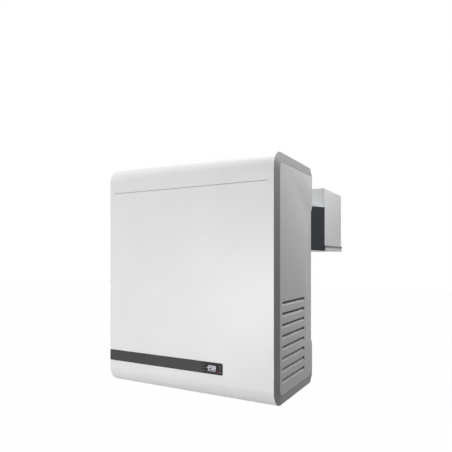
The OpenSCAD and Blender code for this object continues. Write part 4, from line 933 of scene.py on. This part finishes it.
STUB_OUT, SUCTION_RISE = 22, 62
SUCTION_X, SUCTION_Y = -60, -52
INSULATION_R, INSULATION_BEND = 8.6, 11.5
stub_top = shell_high.z
suction_z = stub_top + SUCTION_RISE
suction_stub = shell_x - STUB_OUT
sleeve = swept([(suction_stub, shell_y, stub_top + 8), (suction_stub, shell_y, suction_z),
                (suction_stub, SUCTION_Y, suction_z), (SUCTION_X, SUCTION_Y, suction_z),
                (SUCTION_X, SUCTION_Y, pipe_z - 22)], INSULATION_R, INSULATION_BEND, 24)
publish("suction_line_insulation", sleeve, NEOPRENE)

collar = [(5, 0), (6, 0.6), (6.2, 3), (6, 5.4), (5, 6), (5, 0)]
joints = [turned_about(collar, at(shell_x + STUB_OUT, shell_y, stub_top - 2), 24),
          turned_about(collar, at(suction_stub, shell_y, stub_top - 2), 24),
          turned_about(collar, at(drier_x, drier_y, drier_high.z - 2), 24)]
publish("brazed_joints", joined(*joints), BRAZE)


# Electrical box: rail, contactor, capacitor and wired terminals

block_low, block_high = span("terminal_block")
box_low, box_high = span("electrical_box")
WAYS = 8
way_pitch = (block_high.x - block_low.x) / WAYS
block_z = (block_low.z + block_high.z) / 2
fasteners("terminal_screws", TERMINAL_HEAD, [(block_low.x + (i + 0.5) * way_pitch, block_low.y + 2, block_z)
                                             for i in range(WAYS)], (math.pi / 2, 0, 0), BRASS)
back_y = box_high.y - 2
rail_z = box_low.z + 130
publish("control_rail", blocks(((box_low.x + 14, back_y - 8, rail_z - 12),
                                (box_high.x - 14, back_y - 7, rail_z + 12)),
                               ((box_low.x + 14, back_y - 8, rail_z - 17),
                                (box_high.x - 14, back_y - 1, rail_z - 16)),
                               ((box_low.x + 14, back_y - 8, rail_z + 16),
                                (box_high.x - 14, back_y - 1, rail_z + 17))),
        GALVANISED, edge=0.2)
publish("contactor", blocks(((box_low.x + 30, back_y - 52, rail_z - 36),
                             (box_low.x + 76, back_y - 8, rail_z + 36)),
                            ((box_low.x + 34, back_y - 62, rail_z - 18),
                             (box_low.x + 72, back_y - 52, rail_z + 18))),
        BLACK_ABS, edge=0.8)
publish("relay_module", blocks(((box_low.x + 84, back_y - 46, rail_z - 34),
                                (box_low.x + 116, back_y - 8, rail_z + 34))),
        CREAM_PA, edge=0.8)
publish("run_capacitor", turned_about([(0, 0), (17, 0), (18, 1), (18, 62), (17, 63), (10, 63.5), (0, 63.5)],
                                      at(box_high.x - 40, back_y - 28, rail_z - 34), 48),
        WHITE_PVC)
for index, (finish, word) in enumerate(((WIRE_BROWN, "brown"), (WIRE_BLUE, "blue"), (WIRE_GREEN, "green"))):
    runs = []
    for way in range(index, WAYS, 3):
        x = block_low.x + (way + 0.5) * way_pitch
        top_x = box_low.x + 38 + way * 11
        runs.append(swept([(x, back_y - 8, block_high.z - 3), (x, back_y - 8, block_high.z + 10),
                           (top_x, back_y - 14, rail_z - 50), (top_x, back_y - 20, rail_z - 30)], 1.4, 3,
                           8))
    publish(f"control_wires_{word}", joined(*runs), finish)


# Cable gland: grip ribs round its dome nut

gland_low, gland_high = span("cable_gland")
gland_x, gland_y = (gland_low.x + gland_high.x) / 2, (gland_low.y + gland_high.y) / 2
rib = blocks(((7.8, -0.5, 0.8), (8.8, 0.5, 8)))
ribs = grown(RING, rib, at(gland_x, gland_y, gland_low.z), Count=20, Share_of_turn=1.0, Finish=NYLON)
publish("cable_gland_ribs", ribs, NYLON)

for part in (SHEET_HEAD, PANEL_HEAD, TERMINAL_HEAD):
    bpy.data.objects.remove(part)


# Floor, light and camera


def backdrop(name, tone, glow):
    """A pale floor that still shows white to the camera and keeps most of a shadow."""
    made = bpy.data.materials.new(name)
    made.use_nodes = True
    tree = made.node_tree
    shader = tree.nodes["Principled BSDF"]
    shader.inputs["Base Color"].default_value = linear(tone)
    shader.inputs["Roughness"].default_value = 0.9
    shader.inputs["Specular IOR Level"].default_value = 0.0
    path = add(tree, "ShaderNodeLightPath").outputs
    seen = add(tree, "ShaderNodeMath", {0: path["Is Camera Ray"], 1: path["Is Glossy Ray"]},
               operation="MAXIMUM")
    shown = add(tree, "ShaderNodeMath", {0: seen.outputs[0], 1: path["Is Transmission Ray"]},
                operation="MAXIMUM")
    share = add(tree, "ShaderNodeMath", {0: shown.outputs[0], 1: glow}, operation="MULTIPLY")
    white = add(tree, "ShaderNodeEmission", {"Color": (1, 1, 1, 1), "Strength": 1.0})
    mix = add(tree, "ShaderNodeMixShader", {0: share.outputs[0], 1: shader.outputs[0], 2: white.outputs[0]})
    tree.links.new(mix.outputs[0], tree.nodes["Material Output"].inputs["Surface"])
    return made


FLOOR_Z = -620
FLOOR_HALF = 9000
floor = bpy.data.objects.new("floor", bpy.data.meshes.new("floor"))
plane = bmesh.new()
bmesh.ops.create_grid(plane, x_segments=1, y_segments=1, size=FLOOR_HALF * MM,
                      matrix=Matrix.Translation((0, 0, FLOOR_Z * MM)))
plane.to_mesh(floor.data)
plane.free()
floor.data.materials.append(backdrop("pale studio floor", "8C8C8C", 0.99))
bpy.context.scene.collection.objects.link(floor)

world = bpy.data.worlds.new("studio")
bpy.context.scene.world = world
world.use_nodes = True
sky = world.node_tree
path = add(sky, "ShaderNodeLightPath").outputs
seen = add(sky, "ShaderNodeMath", {0: path["Is Camera Ray"], 1: path["Is Glossy Ray"]}, operation="MAXIMUM")
shown = add(sky, "ShaderNodeMath", {0: seen.outputs[0], 1: path["Is Transmission Ray"]},
            operation="MAXIMUM")
level = add(sky, "ShaderNodeMapRange", {"Value": shown.outputs[0], "To Min": 0.14, "To Max": 1.0})
sky.links.new(level.outputs["Result"], sky.nodes["Background"].inputs["Strength"])
sky.nodes["Background"].inputs["Color"].default_value = (1, 1, 1, 1)


def softbox(name, place, target, size, power):
    """A square studio lamp that points at a target, in metres and watts."""
    light = bpy.data.lights.new(name, "AREA")
    light.shape = "SQUARE"
    light.size = size
    light.energy = power
    holder = bpy.data.objects.new(name, light)
    holder.location = place
    holder.rotation_euler = (Vector(target) - Vector(place)).to_track_quat("-Z", "Y").to_euler()
    bpy.context.scene.collection.objects.link(holder)
    return holder


softbox("front softbox", (-1.3, -4.2, 0.15), (0, -0.3, 0), 1.4, 35)
softbox("low front softbox", (-0.6, -2.6, -0.5), (0, -0.35, -0.4), 0.6, 40)
softbox("upper right softbox", (0.84, 0.15, 1.0), (0.33, -0.1, 0.25), 0.6, 11.5)
softbox("top softbox", (0, -0.3, 3.0), (0, -0.1, 0), 1.6, 54)
softbox("left softbox", (-4.0, 0.4, 0.6), (0, 0, 0), 2.0, 45)
softbox("rear softbox", (-1.6, 4.2, 0.6), (0, 0.4, 0.2), 2.0, 45)

LENS_MM = 35.36
YAW = 28.85
SHIFT_UP = 0.0703
viewer = bpy.data.cameras.new("viewer")
viewer.lens = LENS_MM
viewer.sensor_width = 36
viewer.shift_y = SHIFT_UP
camera = bpy.data.objects.new("viewer", viewer)
camera.location = (0.846, -1.5853, 0.065)
camera.rotation_euler = (math.pi / 2, 0, math.radians(YAW))
bpy.context.scene.collection.objects.link(camera)
bpy.context.scene.camera = camera
bpy.context.scene.view_settings.view_transform = "Standard"
